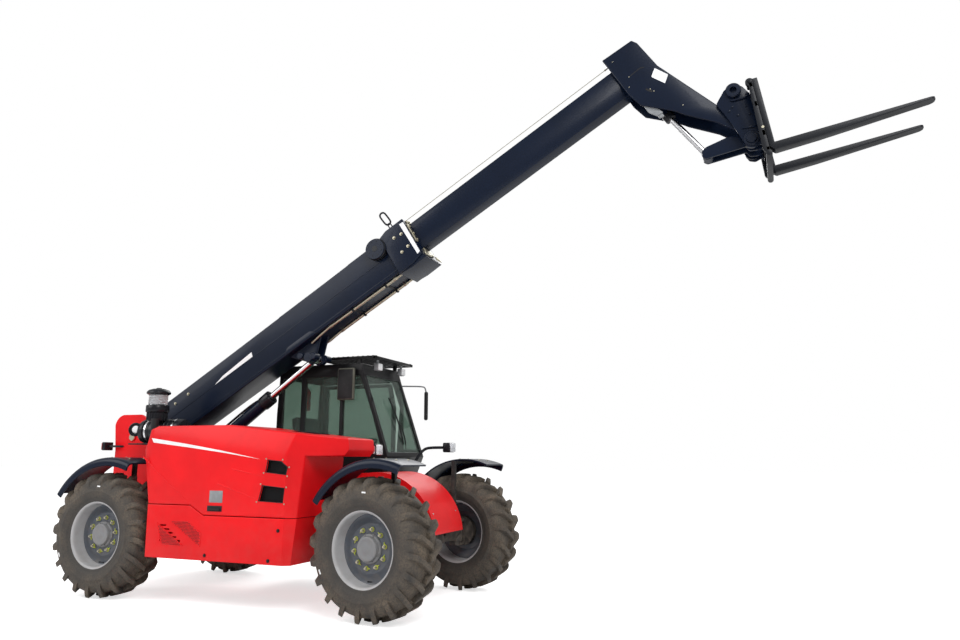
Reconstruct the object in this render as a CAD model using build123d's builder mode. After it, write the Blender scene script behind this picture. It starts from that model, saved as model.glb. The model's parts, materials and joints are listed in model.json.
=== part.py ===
"""Telehandler: a four-wheel-steer lift truck with a side cab and a telescopic boom that carries forks.

Millimetres and degrees. +X is forward, +Y is left, +Z is up. The ground is at Z = 0 and the origin is
under the middle of the whole machine. Lengths along the machine are stated from the rear axle.
"""

import os
from math import cos, hypot, radians, sin, tan

from build123d import *

# Running gear
wheelbase = 3002
track = 1877
rear_axle_x = -3382
wheel_centre_height = 590
tyre_radius = 590
tyre_width = 400
tyre_tread_radius = 544
tyre_shoulder = 62
tyre_flank_radius = 460
tyre_flank_inset = 4
tyre_wall = 46
tyre_crown = 74
wheel_sides = 20
bead_radius = 305
rim_flange_radius = 332
rim_width = 342
rim_gauge = 14
disc_offset = 56
disc_dish = 34
disc_gauge = 18
hub_radius = 118
hub_length = 58
hub_gauge = 22
lug_count = 20
lug_width = 50
lug_angle = 31
lug_overlap = 14
lug_slope = 40
kingpin_inset = 165
kingpin_radius = 30
kingpin_boss_radius = 66
kingpin_boss_height = 190
knuckle_arm_gauge = 36
spindle_radius = 62
front_steer_angle = -7.6
steering_arm_length = 170
steering_eye_inset = 35
steering_rod_lift = 55
steering_rod_radius = 20
steering_barrel_radius = 42
steering_barrel_length = 420
axle_tube_radius = 82
axle_case_radius = 145
pinion_reach = 330
axle_pad_width = 210
guard_post_x = 18
guard_post_inset = 80
guard_top = 735
guard_gauge = 16
guard_arm_height = 718.6
guard_arm_reach = 300
guard_front = 440

# Clearances
running_gap = 0.3
panel_gap = 6
moving_gap = 8

# Frame
frame_half_width = 330
frame_plate = 28
frame_top = 1000
belly_height = 450
belly_gauge = 20
arch_height = 770
arch_back = 260
arch_front = 130
nose_x = 3262
nose_top = 1194
nose_bottom = 650
nose_plate = 14
rear_plate_x = -660
rear_plate_top = 1200
ear_top = 1796
pod_beam_x = (760, 2040)
cab_beam_x = (1100, 2130)
beam_width = 70
beam_height = 90
bulkhead_gauge = 8
bulkhead_top = 1540
hitch_pin_radius = 21
hitch_jaw_gap = 70
hitch_jaw_gauge = 26
hitch_height = 600

# Boom
boom_angle = 30.8
boom_pivot_x = -420
boom_pivot_z = 1550
boom_pin_radius = 45
boom_tube_radius = 85
outer_half_width = 170
outer_top = 190
outer_bottom = -235
outer_rear = -130
outer_wall = 10
outer_front = 3860
collar_half_width = 215
collar_rear = 3570
collar_mid = 3660
collar_front = 3880
collar_top = 214
collar_bottom = -340
guard_block_front = 3940
guard_block_bottom = -400
drum_u = 3480
drum_v = 105
drum_radius = 105
drum_length = 75
pipe_radius = 14
pipe_rear = 2600
pipe_front = 3500
inner_half_width = 120
inner_top = 160
inner_ridge = -10
inner_bottom = -125
inner_floor_half_width = 78
inner_wall = 8
inner_rear = 2950
inner_front = 6405
head_rear = 6353
head_top = 305
head_plate = 20
head_cover = 12
head_tip_radius = 75
tilt_pivot_u = 6930
tilt_pivot_v = -1220
tilt_pin_radius = 35
tilt_base_u = 6470
tilt_base_v = 100
tilt_base_pin_radius = 25
tilt_eye_u = 6585
tilt_eye_v = -1060
tilt_barrel_radius = 50
tilt_barrel_length = 650
tilt_rod_radius = 28
tilt_rod_reach = 800
tilt_eye_radius = 46
tilt_eye_width = 100
tilt_base_eye_radius = 46

# Lift cylinder
lift_base_x = -120
lift_base_z = 1050
lift_pin_radius = 30
lift_barrel_radius = 66
lift_barrel_length = 1580
lift_rod_radius = 36
lift_rod_reach = 1120
lift_lug_u = 2240
lift_lug_v = -390
lift_eye_radius = 50
lift_eye_width = 100
lift_base_eye_radius = 56
lug_plate = 22
lug_radius = 72

# Carriage and forks
fork_angle = 9.2
fork_spacing = 560
fork_width = 110
fork_face = 154
fork_shank = 48
fork_shank_top = 462
fork_blade_top = -147
fork_heel_gauge = 70
fork_tip_gauge = 18
fork_length = 1193
carriage_half_width = 345
carriage_plate_y = 160
carriage_plate = 22
lever_y = 58
lever_plate = 22
lever_end_radius = 50
hitch_boss_f = -47
hitch_boss_w = 474
hitch_boss_radius = 65
hitch_boss_bore = 30

# Engine pod
pod_outer_y = -1100
pod_inner_y = -352
pod_bottom = 420
pod_wall = 18
pod_top_rear = 1628
pod_top_front = 1505
crease_rear_z = 1525
crease_front_z = 1357
crease_lean = 14
snout_x = 2620
snout_bottom = 1345
seam_rear = 899
seam_front = 813
bonnet_hinge_radius = 9
arch_gap = 12
arch_shoulder = 315
arch_crown = 420
arch_top = 710
engine_length = 900
engine_width = 480
engine_height = 800
gearbox_x = 1450
gearbox_length = 620
gearbox_width = 420
gearbox_height = 330
shaft_radius = 38
cleaner_y = -500
cleaner_z = 1602
cleaner_radius = 128
cleaner_length = 560
cleaner_rear_x = -87
bowl_x = 178
bowl_y = -610
bowl_base = 1786
tank_bottom = 410
tank_rear_x = 1000
tank_front_x = 2180
step_x = 1750
step_width = 380
step_depth = 150
step_drop = 120


# Cab
cab_right_y = 250
cab_left_y = 1115
cab_rear_x = 1060
cab_base = 752
cab_wall = 45
cab_shelf = 1012
cab_top = 2330
guard_rail_z = 2395
seat_y = 690
glass_gauge = 6
steering_rim_radius = 195
steering_rim_gauge = 28
door_rear_x = 1140
door_front_x = 2040
door_bottom = 800
door_top = 2190
door_pin_radius = 9
door_pin_offset = 21

front_axle_x = rear_axle_x + wheelbase
kingpin_y = track / 2 - kingpin_inset
beam_end = -pod_outer_y - pod_wall - running_gap
hinge_y = pod_inner_y + 15
hinge_z = pod_top_rear - 50

os.makedirs("parts", exist_ok=True)


def fwd(distance):
    """X of a point that lies this far forward of the rear axle."""
    return rear_axle_x + distance


def side_plane(y):
    """An upright plane along the machine: local x is forward, local y is up, and it faces right."""
    return Plane(origin=(0, y, 0), x_dir=(1, 0, 0), z_dir=(0, -1, 0))


def level_plane(z):
    """A level plane with local x forward and local y to the left."""
    return Plane.XY.offset(z)


def cross_plane(x):
    """An upright plane across the machine: local x is left, local y is up, and it faces forward."""
    return Plane(origin=(x, 0, 0), x_dir=(0, 1, 0), z_dir=(1, 0, 0))


def boom_plane(y):
    """The boom's own upright plane: local x runs out along the boom, local y is square to it."""
    along = (cos(radians(boom_angle)), 0, sin(radians(boom_angle)))
    return Plane(origin=(fwd(boom_pivot_x), y, boom_pivot_z), x_dir=along, z_dir=(0, -1, 0))


def boom_point(u, v, y=0):
    """The place in the machine of a point u along the boom and v square to it."""
    return boom_plane(y).from_local_coords((u, v, 0))


def boom_section(u):
    """A plane square to the boom: local x is left, local y is the boom's upper side."""
    plane = boom_plane(0)
    return Plane(origin=boom_point(u, 0), x_dir=(0, 1, 0), z_dir=tuple(plane.x_dir))


def cylinder_plane(start, end):
    """A plane square to the line between two points, facing the second."""
    return Plane(origin=start, x_dir=(0, 1, 0), z_dir=tuple(Vector(*end) - Vector(*start)))


def save(piece, label):
    """Labels a finished piece and writes it."""
    piece.part.label = label
    export_step(piece.part, f"parts/{label}.step")


class Corner:
    """One wheel station, with the directions that its pieces are built along."""

    def __init__(self, name, axle_x, side, steer):
        self.name = name
        self.side = side
        turn = radians(steer)
        self.forward = Vector(cos(turn), sin(turn), 0)
        self.outboard = Vector(-sin(turn) * side, cos(turn) * side, 0)
        self.kingpin = Vector(axle_x, side * kingpin_y, wheel_centre_height)
        self.wheel = self.kingpin + self.outboard * kingpin_inset

    def level(self, z, centre=None):
        """A level plane at the kingpin, local x forward, local y left."""
        at = self.kingpin if centre is None else centre
        return Plane(origin=(at.X, at.Y, z), x_dir=tuple(self.forward), z_dir=(0, 0, 1))


corners = [
    Corner("front_left", front_axle_x, 1, front_steer_angle),
    Corner("front_right", front_axle_x, -1, front_steer_angle),
    Corner("rear_left", rear_axle_x, 1, 0),
    Corner("rear_right", rear_axle_x, -1, 0),
]


# Tyres and rims, made once about their own axis: local x is outward, local y is along the wheel's axis
def faceted(profile):
    """A many-sided ring about the wheel's axis: one flat sector on a profile, repeated round it."""
    half_turn = radians(180 / wheel_sides)
    with BuildPart() as sector:
        with BuildSketch(Plane.XY):
            with BuildLine():
                Polyline(*profile, close=True)
            make_face()
        extrude(amount=tyre_radius * tan(half_turn), both=True)
        for side in (1, -1):
            cut = Plane(origin=(0, 0, 0), x_dir=(0, 1, 0), z_dir=(sin(half_turn), 0, side * cos(half_turn)))
            split(bisect_by=cut, keep=Keep.TOP)
    with BuildPart() as ring:
        add([sector.part.rotate(Axis.Y, 360 / wheel_sides * step) for step in range(wheel_sides)])
    return ring.part


def both_sides(profile):
    """A profile from the outboard side, closed by its mirror image in the wheel's middle plane."""
    return (*profile, *[(radius, -y) for radius, y in reversed(profile)])


def build_tyre():
    """A tyre carcass with two rows of slanting lugs, open inside over the rim."""
    half = tyre_width / 2
    bead = rim_width / 2 - rim_gauge - running_gap
    inside = half - tyre_wall
    outer = (
        (tyre_tread_radius, half - tyre_shoulder),
        (tyre_flank_radius, half - tyre_flank_inset),
        (bead_radius, bead),
        (bead_radius, bead - rim_gauge),
        (tyre_tread_radius - tyre_crown, inside),
    )
    with BuildPart() as tyre:
        add(faceted(both_sides(outer)))
        lugs = []
        for row, start in ((1, 0.5), (-1, 0)):
            for step in range(lug_count):
                lugs.append(lug_solid(row, 360 / lug_count * (step + start)))
        add(lugs)
    return tyre


def lug_solid(row, turn):
    """One lug: a slanting bar across half of the tread, from past the middle out over the shoulder."""
    half = tyre_width / 2
    around = Vector(-sin(radians(turn)), 0, cos(radians(turn)))
    outward = Vector(cos(radians(turn)), 0, sin(radians(turn)))
    run = Vector(0, row * cos(radians(lug_angle)), 0) + around * sin(radians(lug_angle))
    stretch = 1 / cos(radians(lug_angle))
    lean = tan(radians(lug_angle))
    half_span = ((half - lug_slope + lug_overlap) * lean + lug_width) / 2
    top = (tyre_radius**2 - half_span**2) ** 0.5
    start = around * (lug_overlap * lean - half_span)
    flank = Plane(origin=tuple(start), x_dir=tuple(run), z_dir=tuple(run.cross(outward)))
    with BuildPart() as lug:
        with BuildSketch(flank):
            with BuildLine():
                Polyline(
                    (-lug_overlap * stretch, tyre_tread_radius - lug_overlap),
                    (-lug_overlap * stretch, top),
                    ((half - lug_slope) * stretch, top),
                    ((half - tyre_flank_inset) * stretch, tyre_tread_radius - tyre_shoulder),
                    close=True,
                )
            make_face()
        extrude(amount=lug_width, dir=tuple(around))
    return lug.part


def build_rim():
    """A dished rim: flanged barrel, coned disc set outboard and a capped hub over the spindle's end."""
    half = rim_width / 2
    seat = bead_radius - running_gap
    inner = seat - rim_gauge
    face = disc_offset + hub_length
    back = disc_offset - disc_gauge
    barrel = (
        (seat, half - rim_gauge),
        (rim_flange_radius, half - rim_gauge / 2),
        (rim_flange_radius, half),
        (inner, half - rim_gauge),
    )
    disc = (
        (spindle_radius + running_gap, back),
        (hub_radius, back),
        (inner + running_gap, back - disc_dish),
        (inner + running_gap, disc_offset - disc_dish),
        (hub_radius + disc_gauge, disc_offset),
        (hub_radius, face - hub_gauge / 2),
        (hub_radius - hub_gauge, face),
        (0, face),
        (0, face - hub_gauge),
        (spindle_radius + running_gap, face - hub_gauge),
    )
    with BuildPart() as rim:
        add(faceted(both_sides(barrel)))
        add(faceted(disc))
    return rim


def place_on_wheel(form, corner):
    """A copy of a wheel piece, with its axis on the corner's wheel."""
    seat = Plane(
        origin=tuple(corner.wheel), x_dir=tuple(corner.forward), z_dir=(0, 0, corner.side)
    )
    with BuildPart() as placed:
        add(form.part.moved(seat.location))
    return placed


# Steering knuckles
def build_knuckle(corner):
    """A knuckle that grips the axle's kingpin boss, with the spindle, the steering arm and the mudguard post."""
    s = corner.side
    boss_half = kingpin_boss_height / 2
    arm_reach = kingpin_boss_radius + moving_gap
    with BuildPart() as knuckle:
        for level in (boss_half + 2, -boss_half - 2 - knuckle_arm_gauge):
            with BuildSketch(corner.level(wheel_centre_height + level)):
                with BuildLine():
                    Polyline(
                        (-58, -40 * s),
                        (-58, (arm_reach + 34) * s),
                        (58, (arm_reach + 34) * s),
                        (58, -40 * s),
                        (30, -66 * s),
                        (-30, -66 * s),
                        close=True,
                    )
                make_face()
            extrude(amount=knuckle_arm_gauge)
        with BuildSketch(corner.level(wheel_centre_height - boss_half - 2)):
            with Locations((0, (arm_reach + 17) * s)):
                Rectangle(116, 34)
        extrude(amount=kingpin_boss_height + 4)
        with BuildSketch(corner.level(wheel_centre_height - boss_half - 20)):
            Circle(kingpin_radius)
        extrude(amount=kingpin_boss_height + 40)
        hub_face = corner.kingpin + corner.outboard * (arm_reach + 30)
        reach = kingpin_inset + disc_offset + hub_length - hub_gauge - 4 - (arm_reach + 30)
        with BuildSketch(Plane(origin=tuple(hub_face), x_dir=(0, 0, 1), z_dir=tuple(corner.outboard))):
            Circle(spindle_radius)
        extrude(amount=reach)
        with BuildSketch(Plane(origin=tuple(hub_face), x_dir=(0, 0, 1), z_dir=tuple(corner.outboard))):
            Circle(150)
        extrude(amount=kingpin_inset + disc_offset - disc_gauge - 34 - (arm_reach + 30) - moving_gap)
        with BuildSketch(corner.level(wheel_centre_height + boss_half + 2)):
            with BuildLine():
                Polyline(
                    (-40, -30 * s),
                    (-steering_arm_length - 24, -60 * s),
                    (-steering_arm_length - 24, -10 * s),
                    (-50, 60 * s),
                    close=True,
                )
            make_face()
        extrude(amount=knuckle_arm_gauge)
        with BuildSketch(corner.level(wheel_centre_height + boss_half + 2)):
            with Locations((guard_post_x, -guard_post_inset * s)):
                Rectangle(40, 36)
        extrude(amount=guard_arm_height - boss_half - 2)
        with BuildSketch(corner.level(wheel_centre_height + boss_half + 2)):
            with Locations((guard_post_x, (-guard_post_inset / 2 - 20) * s)):
                Rectangle(40, guard_post_inset - 4)
        extrude(amount=knuckle_arm_gauge)
        with BuildSketch(corner.level(wheel_centre_height + guard_arm_height - 26)):
            with Locations((guard_post_x, (guard_arm_reach - guard_post_inset - 18) / 2 * s)):
                Rectangle(40, guard_arm_reach + guard_post_inset + 18)
        extrude(amount=26)
    return knuckle


# Mudguards
def build_mudguard(corner):
    """A curved mudguard over the tyre, carried on the knuckle's post."""
    s = corner.side
    inner_face = corner.wheel - corner.outboard * (tyre_width / 2)
    plane = Plane(
        origin=tuple(inner_face),
        x_dir=tuple(corner.forward),
        z_dir=tuple(-corner.outboard * s),
    )
    with BuildPart() as mudguard:
        with BuildSketch(plane):
            with BuildLine():
                top_rear = ThreePointArc((-545, 388), (-345, 645), (guard_post_x, guard_top))
                top_front = ThreePointArc(top_rear @ 1, (240, guard_top - 7), (guard_front, 660))
                tip = Line(top_front @ 1, (guard_front - 4, 640))
                low_front = ThreePointArc(
                    tip @ 1,
                    (235, guard_top - guard_gauge - 7),
                    (guard_post_x, guard_top - guard_gauge),
                )
                low_rear = ThreePointArc(low_front @ 1, (-333, 630), (-528, 388))
                Line(low_rear @ 1, top_rear @ 0)
            make_face()
        extrude(amount=-s * (tyre_width - 4))
    return mudguard


# Axles
def build_axle(axle_x, toward):
    """A steering axle: case, pinion nose, tubes, kingpin bosses, frame pads and the steering barrel."""
    with BuildPart() as axle:
        with BuildSketch(side_plane(130)):
            with Locations((axle_x, wheel_centre_height)):
                Circle(axle_case_radius)
        extrude(amount=260)
        with BuildSketch(cross_plane(axle_x)):
            with Locations((0, wheel_centre_height)):
                Circle(88)
        extrude(amount=toward * pinion_reach)
        with BuildSketch(side_plane(kingpin_y - 20)):
            with Locations((axle_x, wheel_centre_height)):
                Circle(axle_tube_radius - 22)
        extrude(amount=2 * (kingpin_y - 20))
        with BuildSketch(side_plane(kingpin_y - 130)):
            with Locations((axle_x, wheel_centre_height)):
                Circle(axle_tube_radius)
        extrude(amount=2 * (kingpin_y - 130))
        for side in (1, -1):
            with BuildSketch(level_plane(wheel_centre_height - kingpin_boss_height / 2)):
                with Locations((axle_x, side * kingpin_y)):
                    Circle(kingpin_boss_radius)
            extrude(amount=kingpin_boss_height)
            with BuildSketch(level_plane(wheel_centre_height)):
                with Locations((axle_x, side * (frame_half_width - frame_plate / 2))):
                    Rectangle(axle_pad_width, 90)
            extrude(amount=arch_height - wheel_centre_height)
        with BuildSketch(side_plane(steering_barrel_length / 2)):
            with Locations((axle_x - steering_arm_length, wheel_centre_height + steering_rod_lift)):
                Circle(steering_barrel_radius)
        extrude(amount=steering_barrel_length)
        with BuildSketch(side_plane(100)):
            with Locations((axle_x - steering_arm_length / 2, wheel_centre_height + steering_rod_lift / 2)):
                Rectangle(steering_arm_length, 70)
        extrude(amount=200)
        for side in (1, -1):
            with BuildSketch(level_plane(wheel_centre_height - kingpin_boss_height)):
                with Locations((axle_x, side * kingpin_y)):
                    Circle(kingpin_radius + running_gap)
            extrude(amount=2 * kingpin_boss_height, mode=Mode.SUBTRACT)
        with BuildSketch(side_plane(steering_barrel_length)):
            with Locations((axle_x - steering_arm_length, wheel_centre_height + steering_rod_lift)):
                Circle(steering_rod_radius + running_gap)
        extrude(amount=2 * steering_barrel_length, mode=Mode.SUBTRACT)
    return axle


def build_steering_rod(axle_x, steer):
    """The rod through a steering barrel, with a stud at each end under the knuckle's arm."""
    shift = -steering_arm_length * sin(radians(steer))
    half = kingpin_y - steering_eye_inset
    rod_z = wheel_centre_height + steering_rod_lift
    with BuildPart() as rod:
        with BuildSketch(side_plane(shift + half)):
            with Locations((axle_x - steering_arm_length, rod_z)):
                Circle(steering_rod_radius)
        extrude(amount=2 * half)
        for side in (1, -1):
            with BuildSketch(level_plane(rod_z - 24)):
                with Locations((axle_x - steering_arm_length, shift + side * half)):
                    Circle(28)
            extrude(amount=kingpin_boss_height / 2 + 2 - steering_rod_lift + 24 - moving_gap)
    return rod


# Main frame
def frame_outline():
    """The side plate's outline, from the rear up over the boom ear and forward to the rounded nose."""
    rear = fwd(rear_plate_x)
    with BuildLine() as outline:
        Polyline(
            (rear, belly_height + 60),
            (rear, 1410),
            (rear - 30, 1670),
        )
        ThreePointArc((rear - 30, 1670), (rear + 20, 1765), (rear + 110, ear_top))
        Line((rear + 110, ear_top), (rear + 330, ear_top))
        ThreePointArc((rear + 330, ear_top), (rear + 425, 1740), (rear + 470, 1640))
        Polyline(
            (rear + 470, 1640),
            (rear + 620, 1180),
            (rear + 780, frame_top),
            (fwd(2330), frame_top),
            (fwd(2420), nose_top),
            (fwd(2560), nose_top),
        )
        ThreePointArc((fwd(2560), nose_top), (fwd(3095), 1015), (fwd(nose_x), nose_bottom))
        Polyline(
            (fwd(nose_x), nose_bottom),
            (front_axle_x + arch_front, nose_bottom),
            (front_axle_x + arch_front - 20, arch_height),
            (front_axle_x - arch_back + 20, arch_height),
            (front_axle_x - arch_back, belly_height),
            (rear_axle_x + arch_back, belly_height),
            (rear_axle_x + arch_back - 20, arch_height),
            (rear_axle_x - arch_back + 20, arch_height),
            (rear_axle_x - arch_back, belly_height + 60),
            (rear, belly_height + 60),
        )
    return outline


def build_main_frame():
    """Two side plates with the boom ears and the nose, the cross members, side beams and rear jaw."""
    inner = frame_half_width - frame_plate
    outline = frame_outline()
    with BuildPart() as frame:
        for side in (1, -1):
            with BuildSketch(side_plane(frame_half_width if side > 0 else -inner)):
                with BuildLine():
                    add(outline.line)
                make_face()
            extrude(amount=frame_plate)
        with BuildSketch(side_plane(inner)):
            with BuildLine():
                ThreePointArc((fwd(2560), nose_top), (fwd(3095), 1015), (fwd(nose_x), nose_bottom))
                Line((fwd(nose_x), nose_bottom), (fwd(nose_x) - nose_plate, nose_bottom))
                ThreePointArc(
                    (fwd(nose_x) - nose_plate, nose_bottom),
                    (fwd(3095) - nose_plate * 0.75, 1015 - nose_plate * 0.66),
                    (fwd(2560), nose_top - nose_plate),
                )
                Line((fwd(2560), nose_top - nose_plate), (fwd(2560), nose_top))
            make_face()
        extrude(amount=2 * inner)
        with BuildSketch(side_plane(inner)):
            with Locations((fwd(rear_plate_x) + 12, (belly_height + 60 + rear_plate_top) / 2)):
                Rectangle(24, rear_plate_top - belly_height - 60)
            with Locations((fwd(1500), belly_height + belly_gauge / 2)):
                Rectangle(2400, belly_gauge)
            with Locations((fwd(lift_base_x), lift_base_z - 160)):
                Rectangle(140, 120)
        extrude(amount=2 * inner)
        for side in (1, -1):
            lug_y = lift_eye_width / 2 + moving_gap
            with BuildSketch(side_plane(lug_y + lug_plate if side > 0 else -lug_y)):
                with Locations((fwd(lift_base_x), lift_base_z)):
                    Circle(62)
                with Locations((fwd(lift_base_x), lift_base_z - 60)):
                    Rectangle(124, 120)
            extrude(amount=lug_plate)
        with BuildSketch(side_plane(lift_eye_width / 2 + moving_gap)):
            with Locations((fwd(lift_base_x), lift_base_z)):
                Circle(lift_pin_radius)
        extrude(amount=lift_eye_width + 2 * moving_gap)
        with BuildSketch(side_plane(frame_half_width + 12)):
            with Locations((fwd(boom_pivot_x), boom_pivot_z)):
                Circle(boom_pin_radius)
        extrude(amount=2 * (frame_half_width + 12))
        for beam_x in pod_beam_x:
            with BuildSketch(cross_plane(fwd(beam_x))):
                with Locations((-(frame_half_width + beam_end) / 2, belly_height + beam_height / 2)):
                    Rectangle(beam_end - frame_half_width, beam_height)
            extrude(amount=beam_width)
        for beam_x in cab_beam_x:
            with BuildSketch(cross_plane(fwd(beam_x))):
                with Locations(((frame_half_width + cab_left_y - 60) / 2, cab_base - 75)):
                    Rectangle(cab_left_y - 60 - frame_half_width, 150)
            extrude(amount=beam_width)
        with BuildSketch(side_plane(-frame_half_width)):
            with BuildLine():
                Polyline(
                    (fwd(660), frame_top - 60),
                    (fwd(660), bulkhead_top),
                    (fwd(2280), bulkhead_top - 50),
                    (fwd(2280), frame_top - 60),
                    close=True,
                )
            make_face()
        extrude(amount=bulkhead_gauge)
        with BuildSketch(cross_plane(fwd(700))):
            with Locations((hinge_y, hinge_z)):
                Circle(bonnet_hinge_radius)
        extrude(amount=840)
        for post_x in (700, 960, 1480):
            with BuildSketch(cross_plane(fwd(post_x))):
                with Locations((hinge_y, (hinge_z + bulkhead_top - 100) / 2)):
                    Rectangle(2 * bonnet_hinge_radius, hinge_z - bulkhead_top + 100)
            extrude(amount=60)
        for level in (hitch_height - hitch_jaw_gap / 2 - hitch_jaw_gauge, hitch_height + hitch_jaw_gap / 2):
            with BuildSketch(level_plane(level)):
                with Locations((fwd(rear_plate_x) - 30, 0)):
                    Rectangle(90, 150)
            extrude(amount=hitch_jaw_gauge)
            with BuildSketch(level_plane(level)):
                with Locations((fwd(rear_plate_x) - 38, 0)):
                    Circle(hitch_pin_radius)
            extrude(amount=hitch_jaw_gauge, mode=Mode.SUBTRACT)
    return frame


# Engine pod
def arch_room(inset):
    """What the steered rear wheel and its mudguard sweep, as stacked rounds about the kingpin, plus an inset."""
    outer_edge = kingpin_inset + tyre_width / 2
    shoulder_reach = (tyre_radius**2 - arch_shoulder**2) ** 0.5
    levels = (
        (pod_bottom - wheel_centre_height - 100, arch_shoulder, tyre_radius),
        (arch_shoulder, arch_crown, shoulder_reach),
        (arch_crown, arch_top, guard_front),
    )
    with BuildPart() as room:
        for low, high, reach in levels:
            with BuildSketch(level_plane(wheel_centre_height + low)):
                with Locations((rear_axle_x, -kingpin_y)):
                    Circle(hypot(reach, outer_edge) + arch_gap + inset)
            extrude(amount=high - low + inset)
    return room.part


def pod_solid(inset):
    """The pod's outer form, or the room inside its walls when inset by their thickness."""
    crease_run = fwd(2184) - fwd(600)
    slope = (crease_front_z - crease_rear_z) / crease_run
    with BuildPart() as pod:
        with BuildSketch(side_plane(pod_inner_y)):
            with BuildLine():
                Polyline(
                    (fwd(640) + inset, pod_bottom - (0 if inset == 0 else 20)),
                    (fwd(624) + inset, 900),
                    (fwd(487) + inset, 1390),
                    (fwd(570) + inset, 1583 - inset),
                    (fwd(660) + inset, pod_top_rear - inset),
                    (fwd(1500), pod_top_rear - inset),
                    (fwd(snout_x) - inset, pod_top_front - inset),
                    (fwd(snout_x + 10) - inset, snout_bottom + 60),
                    (fwd(snout_x - 30) - inset, snout_bottom + inset),
                    (fwd(2300) - inset, snout_bottom + inset),
                    (fwd(2230) - inset, pod_bottom - (0 if inset == 0 else 20)),
                    close=True,
                )
            make_face()
        extrude(amount=pod_inner_y - pod_outer_y - inset)
        with BuildSketch(level_plane(pod_bottom - 50)):
            with BuildLine():
                Polyline(
                    (fwd(300), pod_inner_y + 40),
                    (fwd(300), -980 + inset),
                    (fwd(520) + inset, pod_outer_y + 40 + inset),
                    (fwd(640) + inset, pod_outer_y + inset),
                    (fwd(2170) - inset, pod_outer_y + inset),
                    (fwd(2290) - inset, -1010 + inset),
                    (fwd(snout_x + 20) - inset, -800 + inset),
                    (fwd(snout_x + 20) - inset, pod_inner_y + 40),
                    close=True,
                )
            make_face()
        extrude(amount=1400, mode=Mode.INTERSECT)
        crease = Plane(
            origin=(fwd(600), pod_outer_y + inset, crease_rear_z),
            x_dir=(0, 1, 0),
            z_dir=(1, 0, slope),
        )
        with BuildSketch(crease.offset(-600)):
            with BuildLine():
                Polyline(
                    (-60, 0),
                    (0, 0),
                    (420 * sin(radians(crease_lean)), 420 * cos(radians(crease_lean))),
                    (-60, 420),
                    close=True,
                )
            make_face()
        extrude(amount=3400, mode=Mode.SUBTRACT)
        add(arch_room(inset), mode=Mode.SUBTRACT)
    return pod


def seam_region(above, gap):
    """A slab over the pod's whole width, above or below the stepped seam between bonnet and panel."""
    lift = gap / 2 if above else -gap / 2
    far = 2200 if above else 200
    with BuildPart() as region:
        with BuildSketch(side_plane(0)):
            with BuildLine():
                Polyline(
                    (fwd(200), seam_rear + lift),
                    (fwd(1133), seam_rear + lift),
                    (fwd(1292), seam_front + lift),
                    (fwd(2900), seam_front + lift),
                    (fwd(2900), far),
                    (fwd(200), far),
                    close=True,
                )
            make_face()
        extrude(amount=1400)
    return region


def build_bonnet():
    """The pod's lifting cover: top, outer side, front snout and rear, with two vents and hinge eyes."""
    with BuildPart() as bonnet:
        add(pod_solid(0).part)
        add(pod_solid(pod_wall).part, mode=Mode.SUBTRACT)
        add(seam_region(True, panel_gap).part, mode=Mode.INTERSECT)
        for corner_points in (
            ((1975, 1312), (2120, 1298), (2185, 1250), (2172, 1185), (1955, 1205)),
            ((1928, 1090), (2165, 1070), (2152, 945), (1895, 955)),
        ):
            with BuildSketch(side_plane(pod_outer_y + 60)):
                with BuildLine():
                    Polyline(*[(fwd(x), z) for x, z in corner_points], close=True)
                make_face()
            extrude(amount=120, mode=Mode.SUBTRACT)
        for eye_x in (780, 1100, 1400):
            with BuildSketch(cross_plane(fwd(eye_x))):
                with Locations((hinge_y, hinge_z)):
                    Circle(bonnet_hinge_radius + 9)
                with Locations(((hinge_y + pod_inner_y - 30) / 2, hinge_z + 17)):
                    Rectangle(hinge_y - pod_inner_y + 30, 34)
            extrude(amount=60)
            with BuildSketch(cross_plane(fwd(eye_x))):
                with Locations((hinge_y, hinge_z)):
                    Circle(bonnet_hinge_radius + running_gap)
            extrude(amount=60, mode=Mode.SUBTRACT)
    return bonnet


def build_pod_panel():
    """The fixed lower side panel with its returns, bolted to the frame's side beams."""
    with BuildPart() as panel:
        add(pod_solid(0).part)
        add(pod_solid(pod_wall).part, mode=Mode.SUBTRACT)
        add(seam_region(False, panel_gap).part, mode=Mode.INTERSECT)
        for louvre in range(5):
            with BuildSketch(side_plane(pod_outer_y + 60)):
                with BuildLine():
                    Polyline(
                        (fwd(800), 720 - 34 * louvre),
                        (fwd(870 + 44 * louvre), 720 - 34 * louvre),
                        (fwd(870 + 44 * louvre), 706 - 34 * louvre),
                        (fwd(800), 706 - 34 * louvre),
                        close=True,
                    )
                make_face()
            extrude(amount=120, mode=Mode.SUBTRACT)
    return panel


def build_engine():
    """The engine as one plain block with its sump, on the pod's two beams."""
    base = belly_height + beam_height
    with BuildPart() as engine:
        with BuildSketch(level_plane(base)):
            with Locations((fwd(1435), -700)):
                Rectangle(1340, 300)
        extrude(amount=60)
        with BuildSketch(level_plane(base + 60)):
            with Locations((fwd(1435), -700)):
                Rectangle(engine_length, engine_width)
        extrude(amount=engine_height)
        with BuildSketch(level_plane(base + 60)):
            with Locations((fwd(2010), -700)):
                Rectangle(120, 620)
        extrude(amount=640)
    return engine


# Drive line and what is fixed to the frame
def build_drive_line():
    """The gearbox on the belly plate and the two shafts from it to the axles' pinion noses."""
    with BuildPart() as drive:
        with BuildSketch(level_plane(belly_height + belly_gauge)):
            with Locations((fwd(gearbox_x), 0)):
                Rectangle(gearbox_length, gearbox_width)
        extrude(amount=gearbox_height)
        with BuildSketch(cross_plane(rear_axle_x + pinion_reach)):
            with Locations((0, wheel_centre_height)):
                Circle(shaft_radius)
        extrude(amount=wheelbase - 2 * pinion_reach)
        for joint_x in (rear_axle_x + pinion_reach, front_axle_x - pinion_reach - 60):
            with BuildSketch(cross_plane(joint_x)):
                with Locations((0, wheel_centre_height)):
                    Circle(62)
            extrude(amount=60)
    return drive


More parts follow.
